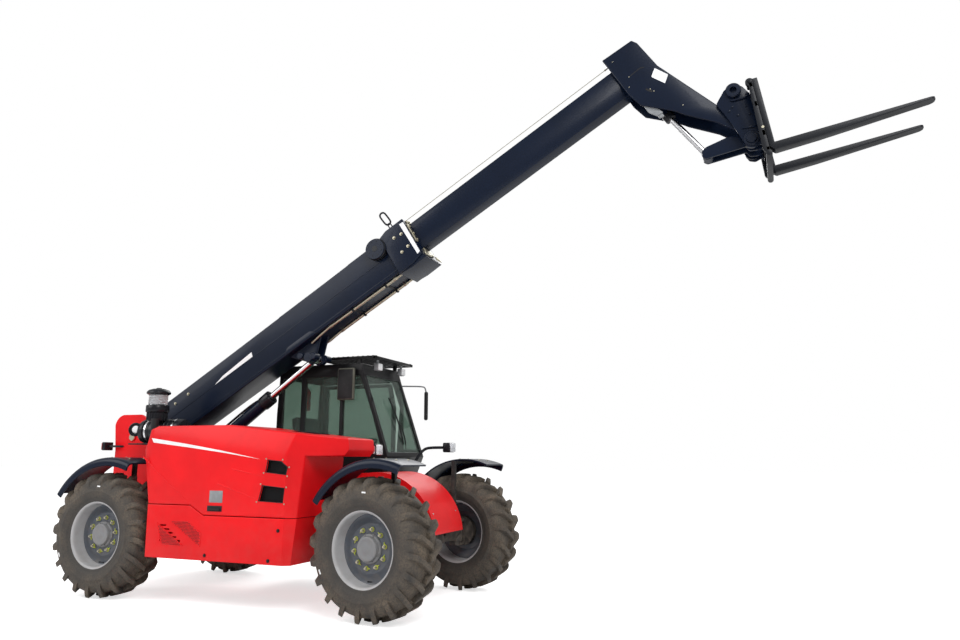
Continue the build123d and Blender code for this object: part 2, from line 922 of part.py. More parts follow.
def build_tank():
    """The tank under the cab, notched on its outer side for two steps."""
    with BuildPart() as tank:
        with BuildSketch(level_plane(tank_bottom)):
            with Locations((fwd((tank_rear_x + tank_front_x) / 2), (frame_half_width + cab_left_y) / 2)):
                Rectangle(tank_front_x - tank_rear_x, cab_left_y - frame_half_width - 10)
        extrude(amount=cab_base - 150 - tank_bottom)
        fillet(tank.edges().filter_by(Axis.X), 24)
        with BuildSketch(side_plane(cab_left_y)):
            with Locations((fwd(step_x), cab_base - 150 - step_drop)):
                Rectangle(step_width, 2 * step_drop - 40)
        extrude(amount=step_depth, mode=Mode.SUBTRACT)
        for level in (tank_bottom + 20, tank_bottom + 20 + step_drop):
            with BuildSketch(level_plane(level)):
                with Locations((fwd(step_x), cab_left_y - step_depth / 2)):
                    Rectangle(step_width, step_depth)
            extrude(amount=12)
    return tank


def build_air_cleaner():
    """The lying canister beside the boom's pivot, its bracket, the bowl on top and the exhaust stub."""
    with BuildPart() as cleaner:
        with BuildSketch(cross_plane(fwd(cleaner_rear_x))):
            with Locations((cleaner_y, cleaner_z)):
                Circle(cleaner_radius)
        extrude(amount=cleaner_length)
        with BuildSketch(cross_plane(fwd(cleaner_rear_x + 60))):
            with Locations((cleaner_y, cleaner_z)):
                Circle(cleaner_radius + 8)
        extrude(amount=30)
        with BuildSketch(level_plane(cleaner_z)):
            with Locations((fwd(bowl_x), bowl_y)):
                Circle(44)
        extrude(amount=190)
        with BuildSketch(Plane(origin=(fwd(bowl_x), bowl_y, 0), x_dir=(1, 0, 0), z_dir=(0, -1, 0))):
            with BuildLine():
                Polyline(
                    (0, bowl_base),
                    (92, bowl_base),
                    (118, bowl_base + 40),
                    (128, bowl_base + 190),
                    (158, bowl_base + 205),
                    (158, bowl_base + 228),
                    (110, bowl_base + 250),
                    (40, bowl_base + 262),
                    (0, bowl_base + 262),
                    close=True,
                )
            make_face()
        revolve(axis=Axis((fwd(bowl_x), bowl_y, 0), (0, 0, 1)))
        with BuildSketch(level_plane(cleaner_z - cleaner_radius - 12)):
            with Locations((fwd(20), -frame_half_width - 125)):
                Rectangle(360, 250)
        extrude(amount=30)
        with BuildSketch(side_plane(-frame_half_width)):
            with BuildLine():
                Polyline(
                    (fwd(-330), 1590),
                    (fwd(-240), 1590),
                    (fwd(200), cleaner_z - cleaner_radius + 18),
                    (fwd(200), cleaner_z - cleaner_radius - 12),
                    (fwd(-160), cleaner_z - cleaner_radius - 12),
                    (fwd(-330), 1400),
                    close=True,
                )
            make_face()
        extrude(amount=10)
        with BuildSketch(level_plane(cleaner_z - 40)):
            with Locations((fwd(420), -880)):
                Circle(36)
        extrude(amount=150)
        with BuildSketch(side_plane(-880)):
            with BuildLine():
                Polyline(
                    (fwd(384), cleaner_z - 60),
                    (fwd(456), cleaner_z - 60),
                    (fwd(456), cleaner_z - 20),
                    (fwd(384), cleaner_z - 20),
                    close=True,
                )
            make_face()
        extrude(amount=880 + cleaner_y, both=False, dir=(0, 1, 0))
        with BuildSketch(level_plane(cleaner_z + 20)):
            with Locations((fwd(420), -880)):
                Circle(30)
        extrude(amount=100, mode=Mode.SUBTRACT)
    return cleaner


# Cab
def cab_solid(inset):
    """The cab's outer form, or its room when inset by the wall."""
    low = cab_base + inset
    with BuildPart() as cab:
        with BuildSketch(side_plane(cab_left_y - inset)):
            with BuildLine():
                Polyline(
                    (fwd(2120) - inset, cab_top - inset),
                    (fwd(cab_rear_x + 25) + inset, cab_top - inset),
                    (fwd(cab_rear_x) + inset, 1800),
                    (fwd(cab_rear_x) + inset, low),
                    (fwd(2290) - inset, low),
                    (fwd(2300) - inset, cab_shelf),
                    (fwd(2332) - inset, cab_shelf + 30),
                    (fwd(2400) - inset, 1350),
                )
                ThreePointArc(
                    (fwd(2400) - inset, 1350),
                    (fwd(2240) - inset, 1760),
                    (fwd(2120) - inset, cab_top - inset),
                )
            make_face()
        extrude(amount=cab_left_y - cab_right_y - 2 * inset)
        with BuildSketch(side_plane(frame_half_width + 15 + inset)):
            with Locations((fwd(1700), cab_base - 100 + (cab_shelf + inset - cab_base + 100) / 2)):
                Rectangle(1600, cab_shelf + inset - cab_base + 100)
        extrude(amount=200, mode=Mode.SUBTRACT)
    return cab


def cab_front(z):
    """X of the cab's lower front face at a height between the shelf and the windscreen."""
    low = cab_shelf + 30
    return fwd(2332) + (z - low) * (2400 - 2332) / (1350 - low)


side_panes = (
    ((1130, 1110), (1372, 1110), (1372, 2200), (1130, 2200)),
    ((1424, 1110), (1866, 1110), (1866, 2200), (1424, 2200)),
    ((1904, 1390), (2328, 1390), (2200, 1760), (2120, 2040), (2085, 2200), (1904, 2200)),
)
door_outline = (
    (door_rear_x, door_bottom),
    (door_front_x, door_bottom),
    (door_front_x + 60, 1150),
    (door_front_x + 60, 1900),
    (door_front_x, door_top),
    (door_rear_x, door_top),
)


def side_prism(points, y, depth):
    """A prism across the machine, from y toward the right, on points stated from the rear axle."""
    with BuildPart() as prism:
        with BuildSketch(side_plane(y)):
            with BuildLine():
                Polyline(*[(fwd(x), z) for x, z in points], close=True)
            make_face()
        extrude(amount=depth)
    return prism.part


def inset_outline(points, gap):
    """The outline moved inward by a gap."""
    with BuildSketch(Plane.XY) as outline:
        with BuildLine():
            Polyline(*points, close=True)
        make_face()
        offset(amount=-gap, kind=Kind.INTERSECTION, mode=Mode.REPLACE)
    corners_in = outline.face().outer_wire().order_edges()
    return [tuple(edge @ 0)[:2] for edge in corners_in]


def windscreen_slab(from_inset, to_inset):
    """The curved slab of the windscreen's opening between two depths under the cab's front face."""
    with BuildPart() as slab:
        with BuildSketch(side_plane(cab_left_y - 50)):
            with BuildLine():
                ThreePointArc(
                    (fwd(2400) - from_inset, 1350),
                    (fwd(2240) - from_inset, 1760),
                    (fwd(2120) - from_inset, cab_top),
                )
                Line((fwd(2120) - from_inset, cab_top), (fwd(2120) - to_inset, cab_top))
                ThreePointArc(
                    (fwd(2120) - to_inset, cab_top),
                    (fwd(2240) - to_inset, 1760),
                    (fwd(2400) - to_inset, 1350),
                )
                Line((fwd(2400) - to_inset, 1350), (fwd(2400) - from_inset, 1350))
            make_face()
        extrude(amount=cab_left_y - cab_right_y - 100)
        with BuildSketch(level_plane(1395)):
            with Locations((fwd(2200), (cab_left_y + cab_right_y) / 2)):
                Rectangle(600, cab_left_y - cab_right_y - 100)
        extrude(amount=2200 - 1395, mode=Mode.INTERSECT)
    return slab.part


def build_cab_frame():
    """The hollow cab: floor, pillars, roof and lower panels, with the windows and the doorway cut."""
    with BuildPart() as cab:
        add(cab_solid(0).part)
        add(cab_solid(cab_wall).part, mode=Mode.SUBTRACT)
        for pane in side_panes:
            add(side_prism(pane, cab_right_y + cab_wall + 5, cab_wall + 10), mode=Mode.SUBTRACT)
        add(side_prism(door_outline, cab_left_y + 5, cab_wall + 10), mode=Mode.SUBTRACT)
        add(
            side_prism(((2140, 1430), (2318, 1430), (2200, 1760), (2140, 2000)), cab_left_y + 5, cab_wall + 10),
            mode=Mode.SUBTRACT,
        )
        with BuildSketch(cross_plane(fwd(cab_rear_x - 10))):
            with Locations(((cab_left_y + cab_right_y) / 2, 1745)):
                Rectangle(cab_left_y - cab_right_y - 110, 890)
        extrude(amount=cab_wall + 50, mode=Mode.SUBTRACT)
        add(windscreen_slab(-40, cab_wall + 30), mode=Mode.SUBTRACT)
        with BuildSketch(level_plane(door_bottom + 60)):
            with Locations((fwd(door_rear_x - 12), cab_left_y + door_pin_offset)):
                Circle(door_pin_radius)
        extrude(amount=door_top - door_bottom - 120)
        for level in (door_bottom + 60, 1500, door_top - 90):
            with BuildSketch(level_plane(level)):
                with Locations((fwd(door_rear_x - 21), cab_left_y + 9)):
                    Rectangle(36, 42)
            extrude(amount=30)
    return cab


def build_cab_glass():
    """The cab's fixed panes, set flush in their openings."""
    with BuildPart() as glass:
        for pane in side_panes:
            add(side_prism(pane, cab_right_y + 12 + glass_gauge, glass_gauge))
        add(
            side_prism(
                ((2140, 1430), (2318, 1430), (2200, 1760), (2140, 2000)), cab_left_y - 12, glass_gauge
            )
        )
        with BuildSketch(cross_plane(fwd(cab_rear_x + 30))):
            with Locations(((cab_left_y + cab_right_y) / 2, 1745)):
                Rectangle(cab_left_y - cab_right_y - 110, 890)
        extrude(amount=glass_gauge)
        add(windscreen_slab(12, 12 + glass_gauge))
    return glass


def build_door_frame():
    """The door's frame with its lower panel, the hinge eyes at its rear edge and the handle."""
    outer = inset_outline(door_outline, panel_gap)
    upper = inset_outline(
        (
            (door_rear_x, 1120),
            (door_front_x + 54, 1120),
            (door_front_x + 60, 1150),
            (door_front_x + 60, 1900),
            (door_front_x, door_top),
            (door_rear_x, door_top),
        ),
        panel_gap + 42,
    )
    with BuildPart() as door:
        add(side_prism(outer, cab_left_y, cab_wall - 5))
        add(side_prism(upper, cab_left_y + 5, cab_wall + 10), mode=Mode.SUBTRACT)
        for level in (door_bottom + 96, 1536, door_top - 126):
            with BuildSketch(level_plane(level)):
                with Locations((fwd(door_rear_x - 12), cab_left_y + door_pin_offset)):
                    Circle(door_pin_radius + 8)
                with Locations((fwd(door_rear_x + 14), cab_left_y + door_pin_offset)):
                    Rectangle(52, 12)
                with Locations((fwd(door_rear_x + 24), cab_left_y + 6)):
                    Rectangle(30, 38)
            extrude(amount=30)
            with BuildSketch(level_plane(level)):
                with Locations((fwd(door_rear_x - 12), cab_left_y + door_pin_offset)):
                    Circle(door_pin_radius + running_gap)
            extrude(amount=30, mode=Mode.SUBTRACT)
        with BuildSketch(level_plane(1040)):
            with Locations((fwd(door_front_x - 20), cab_left_y + 16)):
                Rectangle(130, 12)
            with Locations((fwd(door_front_x - 78), cab_left_y + 8), (fwd(door_front_x + 22), cab_left_y + 8)):
                Rectangle(14, 24)
        extrude(amount=26)
    return door


def build_door_glass():
    """The door's pane, flush in its frame."""
    upper = inset_outline(
        (
            (door_rear_x, 1120),
            (door_front_x + 54, 1120),
            (door_front_x + 60, 1150),
            (door_front_x + 60, 1900),
            (door_front_x, door_top),
            (door_rear_x, door_top),
        ),
        panel_gap + 42,
    )
    with BuildPart() as glass:
        add(side_prism(upper, cab_left_y - 12, glass_gauge))
    return glass


def build_roof_guard():
    """The guard over the cab's roof: two side rails on feet and bars across."""
    with BuildPart() as guard:
        for y in (cab_right_y + 40, cab_left_y - 10):
            with BuildSketch(side_plane(y)):
                with Locations((fwd(1925), guard_rail_z)):
                    Rectangle(720, 24)
                with Locations((fwd(1600), (cab_top + guard_rail_z) / 2)):
                    Rectangle(40, guard_rail_z - cab_top)
                with Locations((fwd(2080), (cab_top + guard_rail_z) / 2)):
                    Rectangle(40, guard_rail_z - cab_top)
            extrude(amount=30)
        for bar in range(12):
            with BuildSketch(side_plane(cab_left_y + 30)):
                with Locations((fwd(1590 + bar * 60.5), guard_rail_z)):
                    Rectangle(16, 24)
            extrude(amount=cab_left_y - cab_right_y + 40)
    return guard


def build_seat():
    """The driver's seat: box, cushion and back."""
    with BuildPart() as seat:
        with BuildSketch(level_plane(cab_base + cab_wall)):
            with Locations((fwd(1400), seat_y)):
                Rectangle(380, 360)
        extrude(amount=330)
        with BuildSketch(level_plane(cab_base + cab_wall + 330)):
            with Locations((fwd(1420), seat_y)):
                RectangleRounded(480, 470, 60)
        extrude(amount=110)
        with BuildSketch(Plane(origin=(fwd(1230), seat_y, 1200), x_dir=(0, 1, 0), z_dir=(1, 0, 0.16))):
            with Locations((0, 290)):
                RectangleRounded(450, 620, 90)
        extrude(amount=100)
    return seat


def build_steering_column():
    """The column from the cab's floor with the steering wheel and the dash pod."""
    with BuildPart() as column:
        with BuildSketch(level_plane(cab_base + cab_wall)):
            with Locations((fwd(2130), seat_y)):
                Rectangle(150, 200)
        extrude(amount=240)
        foot = (fwd(2130), seat_y, cab_base + cab_wall + 200)
        top = (fwd(1905), seat_y, 1430)
        with BuildSketch(cylinder_plane(foot, top)):
            Circle(34)
        extrude(amount=(Vector(*top) - Vector(*foot)).length)
        rim_plane = cylinder_plane(foot, top).offset((Vector(*top) - Vector(*foot)).length)
        with BuildSketch(rim_plane):
            Circle(58)
            Rectangle(350, 26)
            Rectangle(26, 350)
        extrude(amount=16)
        with BuildSketch(rim_plane.offset(-steering_rim_gauge / 4)):
            RegularPolygon(steering_rim_radius, wheel_sides)
            RegularPolygon(steering_rim_radius - steering_rim_gauge, wheel_sides, mode=Mode.SUBTRACT)
        extrude(amount=steering_rim_gauge)
    return column


def build_lamps():
    """The front lamps on their arms and the rear lamps on their brackets."""
    with BuildPart() as lamps:
        with BuildSketch(side_plane(-frame_half_width + frame_plate - 6)):
            with BuildLine():
                Polyline(
                    (fwd(2440), nose_top),
                    (fwd(2490), nose_top),
                    (fwd(2610), 1370),
                    (fwd(2610), 1400),
                    (fwd(2560), 1400),
                    close=True,
                )
            make_face()
        extrude(amount=12)
        with BuildSketch(cross_plane(fwd(2560))):
            with Locations((-286, 1410)):
                Circle(56)
        extrude(amount=90)
        with BuildSketch(side_plane(966)):
            with BuildLine():
                Polyline(
                    (cab_front(1330), 1330),
                    (fwd(2560), 1384),
                    (fwd(2810), 1400),
                    (fwd(2810), 1420),
                    (fwd(2560), 1406),
                    (cab_front(1350), 1350),
                    close=True,
                )
            make_face()
        extrude(amount=20)
        with BuildSketch(cross_plane(fwd(2790))):
            with Locations((956, 1425)):
                Circle(54)
        extrude(amount=100)
        for side in (1, -1):
            with BuildSketch(side_plane(side * frame_half_width + (12 if side > 0 else 0))):
                with BuildLine():
                    Polyline(
                        (fwd(rear_plate_x) - 60, 1420),
                        (fwd(rear_plate_x) + 90, 1420),
                        (fwd(rear_plate_x) + 90, 1480),
                        (fwd(rear_plate_x) - 60, 1480),
                        close=True,
                    )
                make_face()
            extrude(amount=12)
            with BuildSketch(cross_plane(fwd(rear_plate_x) - 90)):
                with Locations((side * (frame_half_width + 60), 1450)):
                    Rectangle(120, 90)
            extrude(amount=50)
    return lamps


def build_mirrors():
    """The two mirrors on their arms: one folded along the cab's right side, one out on the left."""
    with BuildPart() as mirrors:
        with BuildSketch(side_plane(cab_right_y - 15)):
            with Locations((fwd(1960), 2105)):
                RectangleRounded(210, 350, 30)
        extrude(amount=45)
        with BuildSketch(side_plane(cab_right_y)):
            with BuildLine():
                Polyline(
                    (fwd(1720), 2262),
                    (fwd(2010), 2262),
                    (fwd(2010), 2290),
                    (fwd(1720), 2290),
                    close=True,
                )
            make_face()
        extrude(amount=16)
        with BuildSketch(side_plane(cab_right_y)):
            with Locations((fwd(1960), 2240)):
                Rectangle(24, 60)
        extrude(amount=20)
        with BuildSketch(cross_plane(fwd(2410))):
            with Locations((1200, 1925)):
                RectangleRounded(170, 320, 30)
        extrude(amount=50)
        with BuildSketch(side_plane(cab_left_y + 40)):
            with BuildLine():
                Polyline(
                    (fwd(2075), 2170),
                    (fwd(2400), 2150),
                    (fwd(2445), 2085),
                    (fwd(2425), 2075),
                    (fwd(2392), 2128),
                    (fwd(2075), 2148),
                    close=True,
                )
            make_face()
        extrude(amount=20)
        with BuildSketch(side_plane(cab_left_y + 40)):
            with Locations((fwd(2090), 2159)):
                Rectangle(30, 22)
        extrude(amount=40)
    return mirrors


# Boom
def inner_section(grow):
    """The inner boom's cross-section as points left and up, grown by a gap."""
    return (
        (inner_half_width + grow, inner_top + grow),
        (inner_half_width + grow, inner_ridge),
        (inner_floor_half_width + grow, inner_bottom - grow),
        (-inner_floor_half_width - grow, inner_bottom - grow),
        (-inner_half_width - grow, inner_ridge),
        (-inner_half_width - grow, inner_top + grow),
    )


def section_prism(points, start, end):
    """A prism along the boom on a cross-section."""
    with BuildPart() as prism:
        with BuildSketch(boom_section(start)):
            with BuildLine():
                Polyline(*points, close=True)
            make_face()
        extrude(amount=end - start)
    return prism.part


def boom_prism(points, y, depth):
    """A prism across the boom, from y toward the right, on points along and square to the boom."""
    with BuildPart() as prism:
        with BuildSketch(boom_plane(y)):
            with BuildLine():
                Polyline(*points, close=True)
            make_face()
        extrude(amount=depth)
    return prism.part


def boom_pin(u, v, radius, half_length):
    """A round bar across the boom."""
    with BuildPart() as pin:
        with BuildSketch(boom_plane(half_length)):
            with Locations((u, v)):
                Circle(radius)
        extrude(amount=2 * half_length)
    return pin.part


def build_outer_boom():
    """The outer boom: tube, pivot tube, collar, chain drum, pipes and the lift cylinder's lugs."""
    room = (
        (outer_half_width - outer_wall, outer_top - 14 - outer_wall),
        (outer_half_width - outer_wall, outer_bottom + outer_wall),
        (outer_wall - outer_half_width, outer_bottom + outer_wall),
        (outer_wall - outer_half_width, outer_top - 14 - outer_wall),
    )
    with BuildPart() as boom:
        add(
            boom_prism(
                (
                    (outer_rear, 80),
                    (outer_rear + 50, 140),
                    (150, outer_top - 14),
                    (2140, outer_top - 14),
                    (2140, outer_top - 7),
                    (3110, outer_top - 7),
                    (3110, outer_top),
                    (collar_rear + 20, outer_top),
                    (collar_rear + 20, outer_bottom),
                    (300, outer_bottom),
                    (-40, -150),
                    (outer_rear, -70),
                ),
                outer_half_width,
                2 * outer_half_width,
            )
        )
        add(
            boom_prism(
                (
                    (collar_rear, outer_top - 4),
                    (collar_mid, collar_top),
                    (collar_front, collar_top),
                    (collar_front, outer_bottom),
                    (collar_rear + 180, collar_bottom),
                    (collar_rear, collar_bottom),
                ),
                collar_half_width,
                2 * collar_half_width,
            )
        )
        add(
            boom_prism(
                (
                    (3697, -260),
                    (collar_front, -250),
                    (guard_block_front, -380),
                    (3712, guard_block_bottom),
                    (3566, collar_bottom),
                ),
                collar_half_width - 20,
                2 * collar_half_width - 40,
            )
        )
        add(boom_pin(0, 0, boom_tube_radius, 295))
        add(boom_pin(drum_u, drum_v, drum_radius, outer_half_width + drum_length))
        for side in (1, -1):
            lug_y = lift_eye_width / 2 + moving_gap
            add(
                boom_prism(
                    (
                        (lift_lug_u - 220, outer_bottom),
                        (lift_lug_u + 220, outer_bottom),
                        (lift_lug_u + lug_radius, lift_lug_v),
                        (lift_lug_u + 40, lift_lug_v - 60),
                        (lift_lug_u - 40, lift_lug_v - 60),
                        (lift_lug_u - lug_radius, lift_lug_v),
                    ),
                    lug_y + lug_plate if side > 0 else -lug_y,
                    lug_plate,
                )
            )
            with BuildSketch(boom_plane(150 if side > 0 else -lug_y)):
                with Locations((lift_lug_u, lift_lug_v)):
                    Circle(lift_eye_radius)
            extrude(amount=150 - lug_y)
            with BuildSketch(boom_section(pipe_rear)):
                with Locations((side * 120, outer_bottom - pipe_radius + 2)):
                    Circle(pipe_radius)
            extrude(amount=collar_rear + 10 - pipe_rear)
        with BuildSketch(boom_plane(30)):
            with BuildLine():
                Polyline(
                    (3640, outer_top),
                    (3655, 420),
                    (3675, 540),
                    (3700, 560),
                    (3720, 540),
                    (3725, 420),
                    (3715, outer_top),
                    (3695, outer_top),
                    (3703, 420),
                    (3698, 530),
                    (3680, 420),
                    (3662, outer_top),
                    close=True,
                )
            make_face()
        extrude(amount=60)
        add(section_prism(room, 300, collar_front - 72), mode=Mode.SUBTRACT)
        add(section_prism(inner_section(running_gap), 3700, collar_front + 100), mode=Mode.SUBTRACT)
        add(boom_pin(0, 0, boom_pin_radius + running_gap, 300), mode=Mode.SUBTRACT)
    return boom


def build_inner_boom():
    """The inner boom: a folded tube with the rear pads that slide in the outer boom."""
    pad = (
        (outer_half_width - outer_wall - running_gap, outer_top - 14 - outer_wall - running_gap),
        (outer_half_width - outer_wall - running_gap, outer_bottom + outer_wall + running_gap),
        (outer_wall + running_gap - outer_half_width, outer_bottom + outer_wall + running_gap),
        (outer_wall + running_gap - outer_half_width, outer_top - 14 - outer_wall - running_gap),
    )
    with BuildPart() as boom:
        add(section_prism(inner_section(0), inner_rear, inner_front))
        add(section_prism(pad, inner_rear, inner_rear + 80))
        add(
            section_prism(inner_section(-inner_wall), inner_rear - 10, inner_front + 10),
            mode=Mode.SUBTRACT,
        )
    return boom


def head_outline():
    """The head's side plate as points along and square to the boom, without its round lower tip."""
    return (
        (head_rear, head_top),
        (6674, head_top - 16),
        (6700, 230),
        (6715, -90),
        (6890, -753),
        (tilt_pivot_u + head_tip_radius - 2, tilt_pivot_v + 14),
        (tilt_pivot_u - head_tip_radius * 0.94, tilt_pivot_v + 27),
        (6893, -1102),
        (6800, -900),
        (6635, -665),
        (6580, -602),
        (head_rear + 28, -355),
        (head_rear, -160),
    )


def build_boom_head():
    """The boom head: two side plates, the cover over its top and front, pads on the inner boom, two pins."""
    half = 150
    with BuildPart() as head:
        for side in (1, -1):
            y = half if side > 0 else head_plate - half
            add(boom_prism(head_outline(), y, head_plate))
            with BuildSketch(boom_plane(y)):
                with Locations((tilt_pivot_u, tilt_pivot_v)):
                    Circle(head_tip_radius)
            extrude(amount=head_plate)
            inner_y = half - head_plate
            with BuildSketch(boom_plane(inner_y if side > 0 else -inner_half_width)):
                with BuildLine():
                    Polyline(
                        (head_rear, inner_ridge),
                        (inner_front, inner_ridge),
                        (inner_front, inner_top),
                        (head_rear, inner_top),
                        close=True,
                    )
                make_face()
            extrude(amount=inner_y - inner_half_width)
        add(
            boom_prism(
                (
                    (head_rear, inner_top),
                    (head_rear + head_cover, inner_top),
                    (head_rear + head_cover, head_top - head_cover),
                    (6670, head_top - 16 - head_cover),
                    (6700 - head_cover, 226),
                    (6715 - head_cover, -92),
                    (6890 - head_cover, -740),
                    (6890, -753),
                    (6715, -90),
                    (6700, 230),
                    (6674, head_top - 16),
                    (head_rear, head_top),
                ),
                half - head_plate,
                2 * (half - head_plate),
            )
        )
        add(boom_pin(tilt_base_u, tilt_base_v, tilt_base_pin_radius, half - head_plate + 2))
        add(boom_pin(tilt_pivot_u, tilt_pivot_v, tilt_pin_radius, carriage_plate_y + carriage_plate + 16))
    return head


# Cylinders
def build_barrel(base, aim, radius, length, rod_radius, eye_radius, eye_width, pin_radius):
    """A cylinder's barrel: the eye on its pin, the tube with its room, and the gland at the mouth."""
    seat = cylinder_plane(base, aim)
    tube_start = eye_radius + 14
    with BuildPart() as barrel:
        with BuildSketch(seat.offset(tube_start)):
            Circle(radius)
        extrude(amount=length - tube_start)
        with BuildSketch(side_plane(eye_width / 2)):
            with Locations((base[0], base[2])):
                Circle(eye_radius)
        extrude(amount=eye_width)
        with BuildSketch(seat.offset(eye_radius - 16)):
            Rectangle(min(eye_width, 1.3 * radius), 2 * eye_radius - 30)
        extrude(amount=tube_start + 20 - eye_radius)
        with BuildSketch(seat.offset(tube_start + 30)):
            Circle(radius - 12)
        extrude(amount=length - tube_start - 30 - 50, mode=Mode.SUBTRACT)
        with BuildSketch(seat.offset(length - 60)):
            Circle(rod_radius + running_gap)
        extrude(amount=100, mode=Mode.SUBTRACT)
        with BuildSketch(side_plane(eye_width / 2)):
            with Locations((base[0], base[2])):
                Circle(pin_radius + running_gap)
        extrude(amount=eye_width, mode=Mode.SUBTRACT)
    return barrel


def build_rod(base, eye, reach, rod_radius, piston_radius, eye_radius, eye_width):
    """A cylinder's rod: piston, rod and the eye at its end."""
    length = (Vector(*eye) - Vector(*base)).length
    seat = cylinder_plane(base, eye)
    with BuildPart() as rod:
        with BuildSketch(seat.offset(length - reach)):
            Circle(rod_radius)
        extrude(amount=reach - eye_radius + 10)
        with BuildSketch(seat.offset(length - reach)):
            Circle(piston_radius)
        extrude(amount=50)
        with BuildSketch(side_plane(eye_width / 2)):
            with Locations((eye[0], eye[2])):
                Circle(eye_radius)
        extrude(amount=eye_width)
    return rod


# Carriage and forks
def fork_plane(y):
    """The forks' own upright plane at the tilt pin: local x runs along the blades, local y up the frame."""
    along = (cos(radians(fork_angle)), 0, sin(radians(fork_angle)))
    pivot = boom_point(tilt_pivot_u, tilt_pivot_v)
    return Plane(origin=(pivot.X, y, pivot.Z), x_dir=along, z_dir=(0, -1, 0))


def fork_prism(points, y, depth):
    """A prism across the carriage, from y toward the right, on points in the forks' own plane."""
    with BuildPart() as prism:
        with BuildSketch(fork_plane(y)):
            with BuildLine():
                Polyline(*points, close=True)
            make_face()
        extrude(amount=depth)
    return prism.part


def build_carriage():
    """The carriage: hitch plates outside the head, the lever inside it, the cross tube and the fork frame."""
    frame_back = fork_face - fork_shank - 28
    frame_front = fork_face - fork_shank - running_gap
    outer_y = carriage_plate_y + carriage_plate
    eye = boom_point(tilt_eye_u, tilt_eye_v)
    seat = fork_plane(0).to_local_coords(eye)
    with BuildPart() as carriage:
        for side in (1, -1):
            add(
                fork_prism(
                    (
                        (-211, 402),
                        (-110, 500),
                        (10, 500),
                        (frame_back, 410),
                        (frame_back, -80),
                        (40, -193),
                        (-22, -191),
                        (-80, -60),
                        (-90, 60),
                        (-150, 250),
                    ),
                    outer_y if side > 0 else -carriage_plate_y,
                    carriage_plate,
                )
            )
            with BuildSketch(fork_plane(outer_y + 30 if side > 0 else -carriage_plate_y)):
                with Locations((hitch_boss_f, hitch_boss_w)):
                    Circle(hitch_boss_radius)
            extrude(amount=carriage_plate + 30)
            add(
                fork_prism(
                    (
                        (frame_back, fork_shank_top - 20),
                        (frame_front, fork_shank_top - 20),
                        (frame_front, -474),
                        (frame_back, -474),
                        (50, -284),
                        (frame_back, 380),
                    ),
                    carriage_half_width if side > 0 else 30 - carriage_half_width,
                    30,
                )
            )
            add(
                fork_prism(
                    (
                        (0, 70),
                        (seat.X, seat.Y + lever_end_radius),
                        (seat.X - 40, seat.Y + 30),
                        (seat.X - 40, seat.Y - 30),
                        (seat.X, seat.Y - lever_end_radius),
                        (-60, -170),
                        (10, -172),
                        (50, -130),
                        (72, 0),
                    ),
                    lever_y + lever_plate if side > 0 else -lever_y,
                    lever_plate,
                )
            )
        for low, high in ((384, 442), (200, 250), (-230, -160), (-474, -420)):
            add(
                fork_prism(
                    ((frame_back, low), (frame_front, low), (frame_front, high), (frame_back, high)),
                    carriage_half_width,
                    2 * carriage_half_width,
                )
            )
        with BuildSketch(fork_plane(outer_y)):
            with Locations((0, -138)):
                Circle(32)
        extrude(amount=2 * outer_y)
        with BuildSketch(fork_plane(400)):
            with Locations((hitch_boss_f, hitch_boss_w)):
                Circle(hitch_boss_bore)
        extrude(amount=800, mode=Mode.SUBTRACT)
        with BuildSketch(fork_plane(400)):
            Circle(tilt_pin_radius + running_gap)
        extrude(amount=800, mode=Mode.SUBTRACT)
    return carriage


def build_fork(side):
    """One fork: the shank with its hook over the frame's top bar, the heel and the tapered blade."""
    shank_back = fork_face - fork_shank
    y = side * fork_spacing / 2 + fork_width / 2
    tip = fork_face + fork_length
    with BuildPart() as fork:
        add(
            fork_prism(
                (
                    (shank_back, fork_shank_top),
                    (fork_face, fork_shank_top),
                    (fork_face, fork_blade_top),
                    (tip, fork_blade_top),
                    (tip, fork_blade_top - fork_tip_gauge),
                    (fork_face + 340, fork_blade_top - fork_heel_gauge + 8),
                    (shank_back + 40, fork_blade_top - fork_heel_gauge),
                    (shank_back, fork_blade_top - fork_heel_gauge + 40),
                ),
                y,
                fork_width,
            )
        )
        add(
            fork_prism(
                (
                    (shank_back, fork_shank_top),
                    (shank_back - 44, fork_shank_top),
                    (shank_back - 44, fork_shank_top - 46),
                    (shank_back - 28 - running_gap, fork_shank_top - 46),
                    (shank_back - 28 - running_gap, fork_shank_top - 20 + running_gap),
                    (shank_back, fork_shank_top - 20 + running_gap),
                ),
                y,
                fork_width,
            )
        )
        tip_edges = fork.edges().filter_by(
            lambda edge: abs(edge.length - fork_tip_gauge) < 0.5 and abs(edge.center().X - fork.part.bounding_box().max.X) < 5
        )
        fillet(tip_edges, 40)
    return fork


lift_base = (fwd(lift_base_x), 0, lift_base_z)
lift_eye = tuple(boom_point(lift_lug_u, lift_lug_v))
tilt_base = tuple(boom_point(tilt_base_u, tilt_base_v))
tilt_eye = tuple(boom_point(tilt_eye_u, tilt_eye_v))

# Wheel stations
tyre_form = build_tyre()
rim_form = build_rim()
for corner in corners:
    save(place_on_wheel(tyre_form, corner), f"tyre_{corner.name}")
    save(place_on_wheel(rim_form, corner), f"rim_{corner.name}")
    save(build_knuckle(corner), f"knuckle_{corner.name}")
    save(build_mudguard(corner), f"mudguard_{corner.name}")

